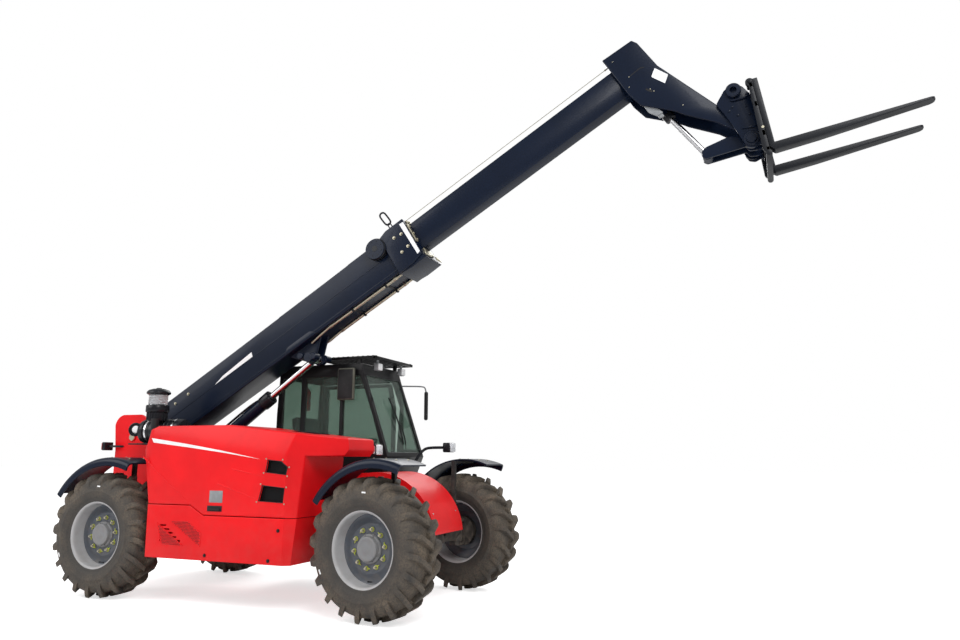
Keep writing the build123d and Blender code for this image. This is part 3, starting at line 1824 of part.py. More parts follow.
save(build_axle(front_axle_x, -1), "axle_front")
save(build_axle(rear_axle_x, 1), "axle_rear")
save(build_steering_rod(front_axle_x, front_steer_angle), "steering_rod_front")
save(build_steering_rod(rear_axle_x, 0), "steering_rod_rear")
save(build_main_frame(), "main_frame")
save(build_bonnet(), "bonnet")
save(build_pod_panel(), "pod_panel")
save(build_engine(), "engine_block")
save(build_drive_line(), "drive_line")
save(build_tank(), "tank_steps")
save(build_air_cleaner(), "air_cleaner")
save(build_cab_frame(), "cab_frame")
save(build_cab_glass(), "cab_glass")
save(build_roof_guard(), "roof_guard")
save(build_seat(), "driver_seat")
save(build_steering_column(), "steering_column")
save(build_door_frame(), "door_frame")
save(build_door_glass(), "door_glass")
save(build_lamps(), "lamps")
save(build_mirrors(), "mirrors")
save(build_outer_boom(), "outer_boom")
save(build_inner_boom(), "inner_boom")
save(build_boom_head(), "boom_head")
save(
    build_barrel(
        lift_base, lift_eye, lift_barrel_radius, lift_barrel_length,
        lift_rod_radius, lift_base_eye_radius, lift_eye_width, lift_pin_radius,
    ),
    "lift_barrel",
)
save(
    build_rod(
        lift_base, lift_eye, lift_rod_reach, lift_rod_radius,
        lift_barrel_radius - 12 - running_gap, lift_eye_radius, lift_eye_width,
    ),
    "lift_rod",
)
save(
    build_barrel(
        tilt_base, tilt_eye, tilt_barrel_radius, tilt_barrel_length,
        tilt_rod_radius, tilt_base_eye_radius, tilt_eye_width, tilt_base_pin_radius,
    ),
    "tilt_barrel",
)
save(
    build_rod(
        tilt_base, tilt_eye, tilt_rod_reach, tilt_rod_radius,
        tilt_barrel_radius - 12 - running_gap, tilt_eye_radius, tilt_eye_width,
    ),
    "tilt_rod",
)
save(build_carriage(), "carriage")
save(build_fork(1), "fork_left")
save(build_fork(-1), "fork_right")
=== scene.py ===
"""Telehandler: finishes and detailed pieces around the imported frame.

Metres and degrees. +X is forward, +Y is left, +Z is up, and the ground is at Z = 0.
"""

from __future__ import annotations

import json
import logging
import math
from dataclasses import dataclass
from enum import Enum
from typing import Callable, Sequence

import bmesh
import bpy
from mathutils import Matrix, Vector

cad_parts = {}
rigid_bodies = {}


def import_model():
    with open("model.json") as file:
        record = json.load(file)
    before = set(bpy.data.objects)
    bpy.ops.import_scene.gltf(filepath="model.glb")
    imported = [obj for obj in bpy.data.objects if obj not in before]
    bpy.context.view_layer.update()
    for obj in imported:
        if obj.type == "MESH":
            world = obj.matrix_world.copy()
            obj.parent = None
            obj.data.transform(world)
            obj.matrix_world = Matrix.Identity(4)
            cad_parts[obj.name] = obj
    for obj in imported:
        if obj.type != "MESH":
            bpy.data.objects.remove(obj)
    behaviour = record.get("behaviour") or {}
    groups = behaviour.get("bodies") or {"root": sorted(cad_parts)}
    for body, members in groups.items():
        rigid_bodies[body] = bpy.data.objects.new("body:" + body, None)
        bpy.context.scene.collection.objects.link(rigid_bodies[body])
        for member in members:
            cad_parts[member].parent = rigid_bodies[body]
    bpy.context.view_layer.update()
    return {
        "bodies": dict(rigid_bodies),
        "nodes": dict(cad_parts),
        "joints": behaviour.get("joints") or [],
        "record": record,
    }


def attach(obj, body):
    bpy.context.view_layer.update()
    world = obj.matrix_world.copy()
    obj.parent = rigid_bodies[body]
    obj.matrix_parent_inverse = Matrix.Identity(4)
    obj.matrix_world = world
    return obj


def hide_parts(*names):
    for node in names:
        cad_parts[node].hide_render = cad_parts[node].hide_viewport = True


log = logging.getLogger("telehandler")

REAR_AXLE_X = -3.382
WHEEL_HEIGHT = 0.590
WHEELBASE = 3.002
BOOM_ANGLE = math.radians(30.8)
BOOM_PIVOT = (-0.420, 1.550)
FORK_ANGLE = math.radians(9.2)
TILT_PIVOT = (6.930, -1.220)

Colour = tuple[float, float, float]


def fwd(distance: float) -> float:
    """X of a point that lies this far forward of the rear axle.

    Args:
        distance: Metres forward of the rear axle.

    Returns:
        The X of the shared frame.
    """
    return REAR_AXLE_X + distance


class Side(Enum):
    """The machine's two sides, as the sign of Y."""

    LEFT = 1
    RIGHT = -1


def arithmetic(operation: str, swapped: bool = False) -> Callable[[Term, object], Term]:
    """Makes an operator that joins a term with another value in one maths node.

    Args:
        operation: The node's operation.
        swapped: Whether the other value comes first.

    Returns:
        The operator, as a method for Term.
    """

    def operator(self: Term, other: object) -> Term:
        """The term joined with another value.

        Args:
            other: A term, a socket or a number.

        Returns:
            The new term.
        """
        return self._join(operation, *((other, self) if swapped else (self, other)))

    return operator


class Term:
    """A shader socket that is worked with as a number in Python expressions."""

    def __init__(self, tree: bpy.types.NodeTree, socket: bpy.types.NodeSocket) -> None:
        """Wraps one output socket.

        Args:
            tree: The material's node tree.
            socket: The output that carries the value.
        """
        self.tree = tree
        self.socket = socket

    def _join(self, operation: str, first: object, second: object) -> Term:
        """Adds a Math node on two values.

        Args:
            operation: The Math node's operation.
            first: A Term or a number.
            second: A Term or a number.

        Returns:
            The node's result.
        """
        node = self.tree.nodes.new("ShaderNodeMath")
        node.operation = operation
        for slot, value in zip(node.inputs, (first, second)):
            if isinstance(value, Term):
                self.tree.links.new(value.socket, slot)
            else:
                slot.default_value = float(value)
        return Term(self.tree, node.outputs[0])

    __add__ = arithmetic("ADD")
    __radd__ = arithmetic("ADD", swapped=True)
    __sub__ = arithmetic("SUBTRACT")
    __rsub__ = arithmetic("SUBTRACT", swapped=True)
    __mul__ = arithmetic("MULTIPLY")
    __rmul__ = arithmetic("MULTIPLY", swapped=True)
    __truediv__ = arithmetic("DIVIDE")
    __pow__ = arithmetic("POWER")

    def over(self, low: float, high: float) -> Term:
        """A 0 to 1 ramp of this value between two limits.

        Args:
            low: The value that gives 0.
            high: The value that gives 1.

        Returns:
            The clamped ramp.
        """
        ramp = (self - low) / (high - low)
        ramp.socket.node.use_clamp = True
        return ramp


class Recipe:
    """A node material under construction, with the one method that adds any other node."""

    def __init__(self, name: str) -> None:
        """Makes an empty material.

        Args:
            name: The material's name.
        """
        self.material = bpy.data.materials.new(name)
        self.material.use_nodes = True
        self.tree = self.material.node_tree
        self.tree.nodes.clear()
        self.out = self.tree.nodes.new("ShaderNodeOutputMaterial")
        self.place = self.add("ShaderNodeTexCoord").outputs["Object"]

    def add(self, kind: str, settings: dict | None = None, **sockets: object) -> bpy.types.Node:
        """Adds a node.

        Args:
            kind: The node's type name.
            settings: Its own properties, set before its sockets.
            sockets: Values, Terms or output sockets by input name, with _ for a space.

        Returns:
            The node.
        """
        node = self.tree.nodes.new(kind)
        for key, value in (settings or {}).items():
            setattr(node, key, value)
        for key, value in sockets.items():
            slot = node.inputs[key.replace("_", " ")]
            if isinstance(value, Term):
                value = value.socket
            if isinstance(value, bpy.types.NodeSocket):
                self.tree.links.new(value, slot)
            else:
                slot.default_value = value
        return node

    def noise(self, scale: float, detail: float = 3.0, place: object = None) -> Term:
        """A noise value about 0.5.

        Args:
            scale: Cells to the metre.
            detail: Octaves.
            place: The coordinate socket, or None for object coordinates.

        Returns:
            The noise.
        """
        node = self.add(
            "ShaderNodeTexNoise", Vector=place or self.place, Scale=scale, Detail=detail
        )
        return Term(self.tree, node.outputs[0])

    def axis(self, letter: str, place: object = None) -> Term:
        """One coordinate in metres.

        Args:
            letter: X, Y or Z.
            place: The coordinate socket, or None for object coordinates.

        Returns:
            The coordinate.
        """
        node = self.add("ShaderNodeSeparateXYZ", Vector=place or self.place)
        return Term(self.tree, node.outputs[letter])

    def mix(self, factor: object, first: object, second: object) -> bpy.types.NodeSocket:
        """A colour between two colours.

        Args:
            factor: A Term or a number.
            first: A colour or a colour socket.
            second: A colour or a colour socket.

        Returns:
            The mixed colour's socket.
        """
        node = self.tree.nodes.new("ShaderNodeMix")
        node.data_type = "RGBA"
        for slot, value in ((node.inputs[0], factor), (node.inputs[6], first), (node.inputs[7], second)):
            if isinstance(value, Term):
                value = value.socket
            if isinstance(value, bpy.types.NodeSocket):
                self.tree.links.new(value, slot)
            elif isinstance(value, (int, float)):
                slot.default_value = value
            else:
                slot.default_value = (*value, 1.0)
        return node.outputs[2]

    def bump(self, height: Term, strength: float, distance: float) -> bpy.types.NodeSocket:
        """A normal from a height.

        Args:
            height: The height's value.
            strength: The Bump node's strength.
            distance: Its distance in metres.

        Returns:
            The normal's socket.
        """
        node = self.add("ShaderNodeBump", Height=height, Strength=strength, Distance=distance)
        return node.outputs[0]

    def finish(self, **sockets: object) -> bpy.types.Material:
        """Adds the surface shader.

        Args:
            sockets: The Principled shader's inputs by name, with _ for a space.

        Returns:
            The finished material.
        """
        shader = self.add("ShaderNodeBsdfPrincipled")
        for key, value in sockets.items():
            slot = shader.inputs[key.replace("_", " ")]
            if isinstance(value, Term):
                value = value.socket
            if isinstance(value, bpy.types.NodeSocket):
                self.tree.links.new(value, slot)
            elif isinstance(value, tuple) and len(value) == 3:
                slot.default_value = (*value, 1.0)
            else:
                slot.default_value = value
        self.tree.links.new(shader.outputs[0], self.out.inputs["Surface"])
        return self.material


@dataclass(frozen=True)
class Paint:
    """Sprayed paint: a slight orange peel, a little cloudiness and dust low down."""

    name: str
    colour: Colour
    roughness: float = 0.28
    coat: float = 0.6
    dust: float = 0.25
    shine: float = 0.18
    dust_colour: Colour = (0.23, 0.19, 0.15)

    def make(self) -> bpy.types.Material:
        """Builds the material.

        Returns:
            The material.
        """
        recipe = Recipe(self.name)
        cloud = recipe.noise(3.0, 4.0)
        grime = recipe.noise(16.0, 6.0)
        low = 1 - recipe.axis("Z").over(0.25, 1.35)
        film = (grime.over(0.42, 0.8) * low + low * 0.25) * self.dust
        shade = tuple(channel * 0.86 for channel in self.colour)
        tone = recipe.mix(cloud.over(0.35, 0.65), self.colour, shade)
        peel = recipe.noise(420.0, 2.0)
        return recipe.finish(
            Base_Color=recipe.mix(film, tone, self.dust_colour),
            Roughness=film * 0.5 + grime * 0.06 + self.roughness,
            Coat_Weight=self.coat,
            Specular_IOR_Level=self.shine,
            Coat_Roughness=0.08,
            Normal=recipe.bump(peel, 0.12, 0.0006),
        )


@dataclass(frozen=True)
class Moulding:
    """Moulded plastic with a fine grain."""

    name: str
    colour: Colour
    roughness: float = 0.55
    grain: float = 0.35
    shine: float = 0.22

    def make(self) -> bpy.types.Material:
        """Builds the material.

        Returns:
            The material.
        """
        recipe = Recipe(self.name)
        cloud = recipe.noise(9.0, 4.0)
        pale = tuple(min(1.0, channel * 1.9 + 0.01) for channel in self.colour)
        skin = recipe.noise(900.0, 2.0)
        return recipe.finish(
            Base_Color=recipe.mix(cloud.over(0.45, 0.8) * 0.5, self.colour, pale),
            Roughness=cloud * 0.12 + self.roughness - 0.06,
            Specular_IOR_Level=self.shine,
            Normal=recipe.bump(skin, self.grain, 0.0005),
        )


@dataclass(frozen=True)
class Tread:
    """Tyre rubber: near black, with dry dust on the tread and in the corners."""

    name: str
    centre: Vector
    axle: Vector
    rubber: Colour = (0.028, 0.026, 0.024)
    dust: Colour = (0.19, 0.145, 0.1)

    def make(self) -> bpy.types.Material:
        """Builds the material.

        Returns:
            The material.
        """
        recipe = Recipe(self.name)
        spot = recipe.add("ShaderNodeVectorMath", {"operation": "SUBTRACT"})
        recipe.tree.links.new(recipe.place, spot.inputs[0])
        spot.inputs[1].default_value = tuple(self.centre)
        across = recipe.add("ShaderNodeVectorMath", {"operation": "DOT_PRODUCT"})
        recipe.tree.links.new(spot.outputs[0], across.inputs[0])
        across.inputs[1].default_value = tuple(self.axle)
        reach = recipe.add("ShaderNodeVectorMath", {"operation": "LENGTH"})
        recipe.tree.links.new(spot.outputs[0], reach.inputs[0])
        depth = Term(recipe.tree, across.outputs["Value"])
        length = Term(recipe.tree, reach.outputs["Value"])
        radius = (length * length - depth * depth) ** 0.5
        dry = recipe.noise(7.0, 6.0)
        specks = recipe.noise(70.0, 5.0)
        film = (radius.over(0.33, 0.53) * 0.62 + 0.12) * dry.over(0.22, 0.7)
        film = film * specks.over(0.2, 0.62)
        return recipe.finish(
            Base_Color=recipe.mix(film, self.rubber, self.dust),
            Roughness=film * 0.25 + 0.68,
            Normal=recipe.bump(specks + recipe.noise(240.0, 3.0) * 0.5, 0.35, 0.002),
        )


@dataclass(frozen=True)
class Metal:
    """Bare or plated metal."""

    name: str
    colour: Colour
    roughness: float = 0.12

    def make(self) -> bpy.types.Material:
        """Builds the material.

        Returns:
            The material.
        """
        recipe = Recipe(self.name)
        smear = recipe.noise(26.0, 5.0)
        return recipe.finish(
            Base_Color=self.colour,
            Metallic=1.0,
            Roughness=smear * 0.14 + self.roughness,
            Normal=recipe.bump(recipe.noise(300.0, 2.0), 0.08, 0.0003),
        )


@dataclass(frozen=True)
class Pane:
    """Tinted safety glass with a little dust."""

    name: str
    tint: Colour
    clear: float = 0.9

    def make(self) -> bpy.types.Material:
        """Builds the material.

        Returns:
            The material.
        """
        recipe = Recipe(self.name)
        haze = recipe.noise(11.0, 4.0)
        return recipe.finish(
            Base_Color=recipe.mix(haze.over(0.5, 0.9) * 0.12, self.tint, (0.5, 0.5, 0.46)),
            Roughness=haze * 0.05 + 0.01,
            Transmission_Weight=self.clear,
            IOR=1.2,
        )


@dataclass(frozen=True)
class Cloth:
    """Woven seat cloth."""

    name: str
    colour: Colour

    def make(self) -> bpy.types.Material:
        """Builds the material.

        Returns:
            The material.
        """
        recipe = Recipe(self.name)
        wave = {"wave_type": "BANDS", "bands_direction": "Y"}
        across = recipe.add("ShaderNodeTexWave", wave, Vector=recipe.place, Scale=260.0, Distortion=0.4)
        wave = {"wave_type": "BANDS", "bands_direction": "Z"}
        along = recipe.add("ShaderNodeTexWave", wave, Vector=recipe.place, Scale=260.0, Distortion=0.4)
        weave = Term(recipe.tree, across.outputs["Fac"]) * Term(recipe.tree, along.outputs["Fac"])
        pale = tuple(channel * 2.2 for channel in self.colour)
        return recipe.finish(
            Base_Color=recipe.mix(weave.over(0.1, 0.9), self.colour, pale),
            Roughness=weave * 0.1 + 0.8,
            Sheen_Weight=0.3,
            Normal=recipe.bump(weave, 0.5, 0.0008),
        )


class Camera:
    """The photograph's camera, from the fit to the wheels and the frame."""

    place = Vector((fwd(6.222), -6.832, 1.322))
    yaw = 22.70
    pitch = 11.44
    roll = 0.25
    focal_pixels = 762.93
    centre_pixels = (460.38, 305.19)
    width_pixels = 960
    height_pixels = 640
    sensor = 36.0

    def build(self) -> None:
        """Makes the camera and sets it as the scene's."""
        data = bpy.data.cameras.new("photo_camera")
        data.sensor_width = self.sensor
        data.lens = self.focal_pixels / self.width_pixels * self.sensor
        data.shift_x = (self.width_pixels / 2 - self.centre_pixels[0]) / self.width_pixels
        data.shift_y = -(self.height_pixels / 2 - self.centre_pixels[1]) / self.width_pixels
        data.clip_end = 200.0
        camera = bpy.data.objects.new("photo_camera", data)
        turn = (
            Matrix.Rotation(math.radians(self.yaw), 4, "Z")
            @ Matrix.Rotation(math.radians(90 + self.pitch), 4, "X")
            @ Matrix.Rotation(math.radians(self.roll), 4, "Z")
        )
        camera.matrix_world = Matrix.Translation(self.place) @ turn
        bpy.context.scene.collection.objects.link(camera)
        bpy.context.scene.camera = camera


class Studio:
    """The pale floor, the plain world and the soft lamps."""

    floor_size = 90.0
    pale = (0.93, 0.93, 0.93)

    def floor(self) -> None:
        """Lays the floor as stage."""
        mesh = bpy.data.meshes.new("studio_floor")
        shape = bmesh.new()
        bmesh.ops.create_grid(shape, x_segments=1, y_segments=1, size=self.floor_size)
        shape.to_mesh(mesh)
        shape.free()
        floor = bpy.data.objects.new("studio_floor", mesh)
        bpy.context.scene.collection.objects.link(floor)
        recipe = Recipe("studio_floor")
        recipe.finish(Base_Color=self.pale, Roughness=0.9)
        shader = next(node for node in recipe.tree.nodes if node.type == "BSDF_PRINCIPLED")
        path = recipe.add("ShaderNodeLightPath")
        glow = recipe.add("ShaderNodeEmission", Color=(1.0, 1.0, 1.0, 1.0), Strength=0.62)
        seen = Term(recipe.tree, path.outputs["Is Camera Ray"])
        blend = recipe.add("ShaderNodeAddShader")
        recipe.tree.links.new(shader.outputs[0], blend.inputs[0])
        recipe.tree.links.new(glow.outputs[0], blend.inputs[1])
        choose = recipe.add("ShaderNodeMixShader", Fac=seen)
        recipe.tree.links.new(shader.outputs[0], choose.inputs[1])
        recipe.tree.links.new(blend.outputs[0], choose.inputs[2])
        recipe.tree.links.new(choose.outputs[0], recipe.out.inputs["Surface"])
        mesh.materials.append(recipe.material)

    def world(self) -> None:
        """Sets the world: even grey light, seen as white."""
        world = bpy.data.worlds.new("studio")
        bpy.context.scene.world = world
        world.use_nodes = True
        tree = world.node_tree
        tree.nodes.clear()
        out = tree.nodes.new("ShaderNodeOutputWorld")
        path = tree.nodes.new("ShaderNodeLightPath")
        light = tree.nodes.new("ShaderNodeBackground")
        light.inputs[0].default_value = (1.0, 1.0, 1.0, 1.0)
        light.inputs[1].default_value = 0.52
        seen = tree.nodes.new("ShaderNodeBackground")
        seen.inputs[0].default_value = (1.0, 1.0, 1.0, 1.0)
        seen.inputs[1].default_value = 1.0
        choose = tree.nodes.new("ShaderNodeMixShader")
        either = Term(tree, path.outputs["Is Camera Ray"]) + Term(tree, path.outputs["Is Transmission Ray"])
        either.socket.node.use_clamp = True
        tree.links.new(either.socket, choose.inputs[0])
        tree.links.new(light.outputs[0], choose.inputs[1])
        tree.links.new(seen.outputs[0], choose.inputs[2])
        tree.links.new(choose.outputs[0], out.inputs[0])

    def lamp(
        self, name: str, place: Sequence[float], aim: Sequence[float], size: float, power: float,
    ) -> None:
        """Adds one soft square lamp.

        Args:
            name: The lamp's name.
            place: Where it stands.
            aim: The point it faces.
            size: Its side.
            power: Watts.
        """
        data = bpy.data.lights.new(name, "AREA")
        data.size = size
        data.energy = power
        lamp = bpy.data.objects.new(name, data)
        direction = Vector(aim) - Vector(place)
        lamp.matrix_world = Matrix.Translation(place) @ direction.to_track_quat("-Z", "Y").to_matrix().to_4x4(
            
        )
        bpy.context.scene.collection.objects.link(lamp)

    def build(self) -> None:
        """Makes the floor, the world, the lamps and the view transform."""
        self.floor()
        self.world()
        self.lamp("key_lamp", (7.0, -9.0, 11.0), (0.0, 0.0, 1.5), 7.0, 1250.0)
        self.lamp("fill_lamp", (-8.0, -7.0, 7.0), (0.0, 0.0, 1.5), 7.0, 500.0)
        self.lamp("back_lamp", (-3.0, 10.0, 10.0), (0.0, 0.0, 1.5), 8.0, 700.0)
        bpy.context.scene.view_settings.view_transform = "Standard"


class Finish(Enum):
    """The machine's finishes, by name."""

    RED = "red"
    NAVY = "navy"
    CHARCOAL = "charcoal"
    AXLE = "axle"
    SILVER = "silver"
    # The disc and hub finishes are the rim's silver darkened as painted shade.
    SHADED_DISC = "disc"
    SHADED_HUB = "hub"
    CAB = "cab"
    GLOSS = "gloss"
    MATT = "matt"
    GLASS = "glass"
    CLOTH = "cloth"
    CHROME = "chrome"
    ZINC = "zinc"
    WHITE = "white"
    GREY = "grey"
    TAG = "tag"
    # MESH serves real mesh and also painted shade: the vent backs and the grille holes.
    MESH = "mesh"
    LENS = "lens"
    TAIL = "tail"
    BOWL = "bowl"
    ENGINE = "engine"
    RUBBER = "rubber"
    OLIVE = "olive"


SLOTS = {
    Finish.RED: "body_red",
    Finish.NAVY: "boom_navy",
    Finish.CHARCOAL: "fork_grey",
    Finish.AXLE: "axle_grey",
    Finish.SILVER: "rim_silver",
    Finish.SHADED_DISC: "rim_silver",
    Finish.SHADED_HUB: "rim_silver",
    Finish.CAB: "cab_black",
    Finish.GLOSS: "black_gloss",
    Finish.MATT: "black_plastic",
    Finish.GLASS: "window_glass",
    Finish.CLOTH: "seat_cloth",
    Finish.CHROME: "rod_chrome",
    Finish.ENGINE: "engine_grey",
    Finish.RUBBER: "tyre_rubber",
}


def upright(x: float, z: float, y: float = 0.0, angle: float = 0.0) -> Matrix:
    """A frame at a place, turned up about the machine's cross axis.

    Args:
        x: The origin's X.
        z: The origin's Z.
        y: The origin's Y.
        angle: How far its own X points above the level, in radians.

    Returns:
        The frame as a matrix.
    """
    return Matrix.Translation((x, y, z)) @ Matrix.Rotation(-angle, 4, "Y")


BOOM = upright(fwd(BOOM_PIVOT[0]), BOOM_PIVOT[1], 0.0, BOOM_ANGLE)
FORK = Matrix.Translation(BOOM @ Vector((TILT_PIVOT[0], 0.0, TILT_PIVOT[1]))) @ Matrix.Rotation(
    -FORK_ANGLE, 4, "Y"
)
WORLD = Matrix.Identity(4)


def facing(axis: Vector) -> Matrix:
    """The turn that points Z along an axis.

    Args:
        axis: The direction.

    Returns:
        The turn as a 4 by 4 matrix.
    """
    return axis.to_track_quat("Z", "Y").to_matrix().to_4x4()


class Shape:
    """One piece under construction in a frame of its own."""

    def __init__(self, place: Matrix = WORLD) -> None:
        """Starts an empty piece.

        Args:
            place: The frame that its sizes are stated in.
        """
        self.place = place
        self.mesh = bmesh.new()

    def join(self, part: bmesh.types.BMesh, turn: Matrix = WORLD) -> Shape:
        """Adds a finished part of the piece.

        Args:
            part: The part's bmesh, which is freed.
            turn: Where the part goes in the piece's frame.

        Returns:
            The piece.
        """
        bmesh.ops.transform(part, matrix=turn, verts=part.verts)
        bmesh.ops.recalc_face_normals(part, faces=part.faces)
        holder = bpy.data.meshes.new("holder")
        part.to_mesh(holder)
        part.free()
        self.mesh.from_mesh(holder)
        bpy.data.meshes.remove(holder)
        return self

    @staticmethod
    def _round(part: bmesh.types.BMesh, width: float, steps: int, edges: Sequence | None = None) -> None:
        """Bevels a part's sharp edges.

        Args:
            part: The part's bmesh.
            width: The bevel's width.
            steps: Its segments.
            edges: The edges, or None for every sharp one.
        """
        if width <= 0:
            return
        if edges is None:
            edges = [
                edge for edge in part.edges
                if len(edge.link_faces) == 2 and edge.calc_face_angle(0) > 0.5
            ]
        bmesh.ops.bevel(
            part, geom=edges, offset=width, offset_type="OFFSET", segments=steps, profile=0.5,
            affect="EDGES", clamp_overlap=True, material=-1,
        )

    def box(self, low: Sequence[float], high: Sequence[float], soft: float = 0.0, steps: int = 2) -> Shape:
        """A block between two corners.

        Args:
            low: One corner.
            high: The opposite corner.
            soft: The width of its edges' bevel.
            steps: The bevel's segments.

        Returns:
            The piece.
        """
        part = bmesh.new()
        bmesh.ops.create_cube(part, size=1.0)
        size = Vector(high) - Vector(low)
        bmesh.ops.scale(part, vec=(abs(size.x), abs(size.y), abs(size.z)), verts=part.verts)
        bmesh.ops.translate(part, vec=(Vector(low) + Vector(high)) / 2, verts=part.verts)
        self._round(part, soft, steps)
        return self.join(part)

    def rod(
        self, start: Sequence[float], end: Sequence[float], radius: float, tip: float | None = None,
        sides: int = 28, soft: float = 0.0,
    ) -> Shape:
        """A round bar between two points.

        Args:
            start: The middle of one end.
            end: The middle of the other.
            radius: Its radius at the start.
            tip: Its radius at the end, or None for the same.
            sides: How many sides it has.
            soft: The width of its rims' bevel.

        Returns:
            The piece.
        """
        run = Vector(end) - Vector(start)
        part = bmesh.new()
        bmesh.ops.create_cone(
            part, cap_ends=True, segments=sides, radius1=radius,
            radius2=radius if tip is None else tip, depth=run.length,
        )
        self._round(part, soft, 2)
        return self.join(part, Matrix.Translation((Vector(start) + Vector(end)) / 2) @ facing(run))

    def turned(
        self, profile: Sequence[tuple[float, float]], start: Sequence[float], axis: Sequence[float],
        sides: int = 64, closed: bool = False, sweep: float = 360.0,
    ) -> Shape:
        """A profile spun about an axis.

        Args:
            profile: Radius and height along the axis, point by point.
            start: Where height 0 lies.
            axis: The axis's direction.
            sides: Steps of the spin.
            closed: Whether the profile's last point joins its first.
            sweep: The spin's angle in degrees.

        Returns:
            The piece.
        """
        part = bmesh.new()
        points = [part.verts.new((radius, 0.0, height)) for radius, height in profile]
        edges = [part.edges.new(pair) for pair in zip(points, points[1:])]
        if closed:
            edges.append(part.edges.new((points[-1], points[0])))
        geometry: list = [*points, *edges]
        if sweep < 360:
            geometry.append(part.faces.new(points))
        bmesh.ops.spin(
            part, geom=geometry, cent=(0, 0, 0), axis=(0, 0, 1), angle=math.radians(sweep),
            steps=sides, use_merge=sweep >= 360, use_duplicate=False,
        )
        bmesh.ops.remove_doubles(part, verts=part.verts, dist=1e-5)
        return self.join(part, Matrix.Translation(start) @ facing(Vector(axis)))

    def plate(
        self, outline: Sequence[tuple[float, float]], near: float, far: float, soft: float = 0.0,
        corner: float = 0.0,
    ) -> Shape:
        """A plate cut to an outline along and up, between two distances across.

        Args:
            outline: Points as X and Z of the piece's frame.
            near: Y of one face.
            far: Y of the other.
            soft: The width of its edges' bevel.
            corner: The radius that its outline's corners are rounded to.

        Returns:
            The piece.
        """
        part = bmesh.new()
        part.faces.new([part.verts.new((x, near, z)) for x, z in outline])
        if corner > 0:
            bmesh.ops.bevel(
                part, geom=list(part.verts), offset=corner, offset_type="OFFSET", segments=5,
                profile=0.5, affect="VERTICES", clamp_overlap=True, material=-1,
            )
        sides = bmesh.ops.extrude_face_region(part, geom=part.faces[:])["geom"]
        moved = [item for item in sides if isinstance(item, bmesh.types.BMVert)]
        bmesh.ops.translate(part, vec=(0, far - near, 0), verts=moved)
        bmesh.ops.recalc_face_normals(part, faces=part.faces)
        self._round(part, soft, 2)
        return self.join(part)

    def tube(
        self, path: Sequence[Sequence[float]], radius: float, closed: bool = False, curved: bool = True,
    ) -> Shape:
        """A round wire or pipe along a path.

        Args:
            path: The points that it follows.
            radius: Its radius.
            closed: Whether it closes on itself.
            curved: Whether it runs in a smooth curve rather than straight between points.

        Returns:
            The piece.
        """
        curve = bpy.data.curves.new("path", "CURVE")
        curve.dimensions = "3D"
        curve.bevel_depth = radius
        curve.bevel_resolution = 3
        curve.use_fill_caps = True
        spline = curve.splines.new("NURBS" if curved else "POLY")
        spline.points.add(len(path) - 1)
        for point, place in zip(spline.points, path):
            point.co = (*place, 1.0)
        spline.use_cyclic_u = closed
        if curved:
            spline.order_u = 3
            spline.use_endpoint_u = not closed
            spline.resolution_u = 6
        holder = bpy.data.objects.new("path", curve)
        mesh = bpy.data.meshes.new_from_object(holder)
        part = bmesh.new()
        part.from_mesh(mesh)
        bpy.data.objects.remove(holder)
        bpy.data.curves.remove(curve)
        bpy.data.meshes.remove(mesh)
        return self.join(part)

    def bolt(self, seat: Sequence[float], axis: Sequence[float], radius: float, height: float) -> Shape:
        """A hexagon head on its washer.

        Args:
            seat: Where the washer lies.
            axis: The way that the head points.
            radius: The head's radius.
            height: The head's height.

        Returns:
            The piece.
        """
        at, up = Vector(seat), Vector(axis).normalized()
        self.rod(at, at + up * height * 0.25, radius * 1.35, sides=18)
        return self.rod(at + up * height * 0.2, at + up * height, radius, sides=6, soft=radius * 0.12)

    def piece(
        self, name: str, body: str, finish: Finish, replaces: Sequence[str] = (), sharp: float = 32.0
    ) -> bpy.types.Object:
        """Finishes the piece: its place, its shading, its material and its body.

        Args:
            name: The piece's name.
            body: The body that it rides on.
            finish: Its finish.
            replaces: The CAD nodes that it stands for.
            sharp: The angle above which an edge shades sharp, in degrees.

        Returns:
            The object.
        """
        bmesh.ops.transform(self.mesh, matrix=self.place, verts=self.mesh.verts)
        for face in self.mesh.faces:
            face.smooth = True
        for edge in self.mesh.edges:
            edge.smooth = len(edge.link_faces) == 2 and edge.calc_face_angle(0) < math.radians(sharp)
        mesh = bpy.data.meshes.new(name)
        self.mesh.to_mesh(mesh)
        self.mesh.free()
        mesh.materials.append(Palette.made[finish])
        made = bpy.data.objects.new(name, mesh)
        bpy.context.scene.collection.objects.link(made)
        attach(made, body)
        if replaces:
            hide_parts(*replaces)
        log.info("built %s on %s", name, body)
        return made


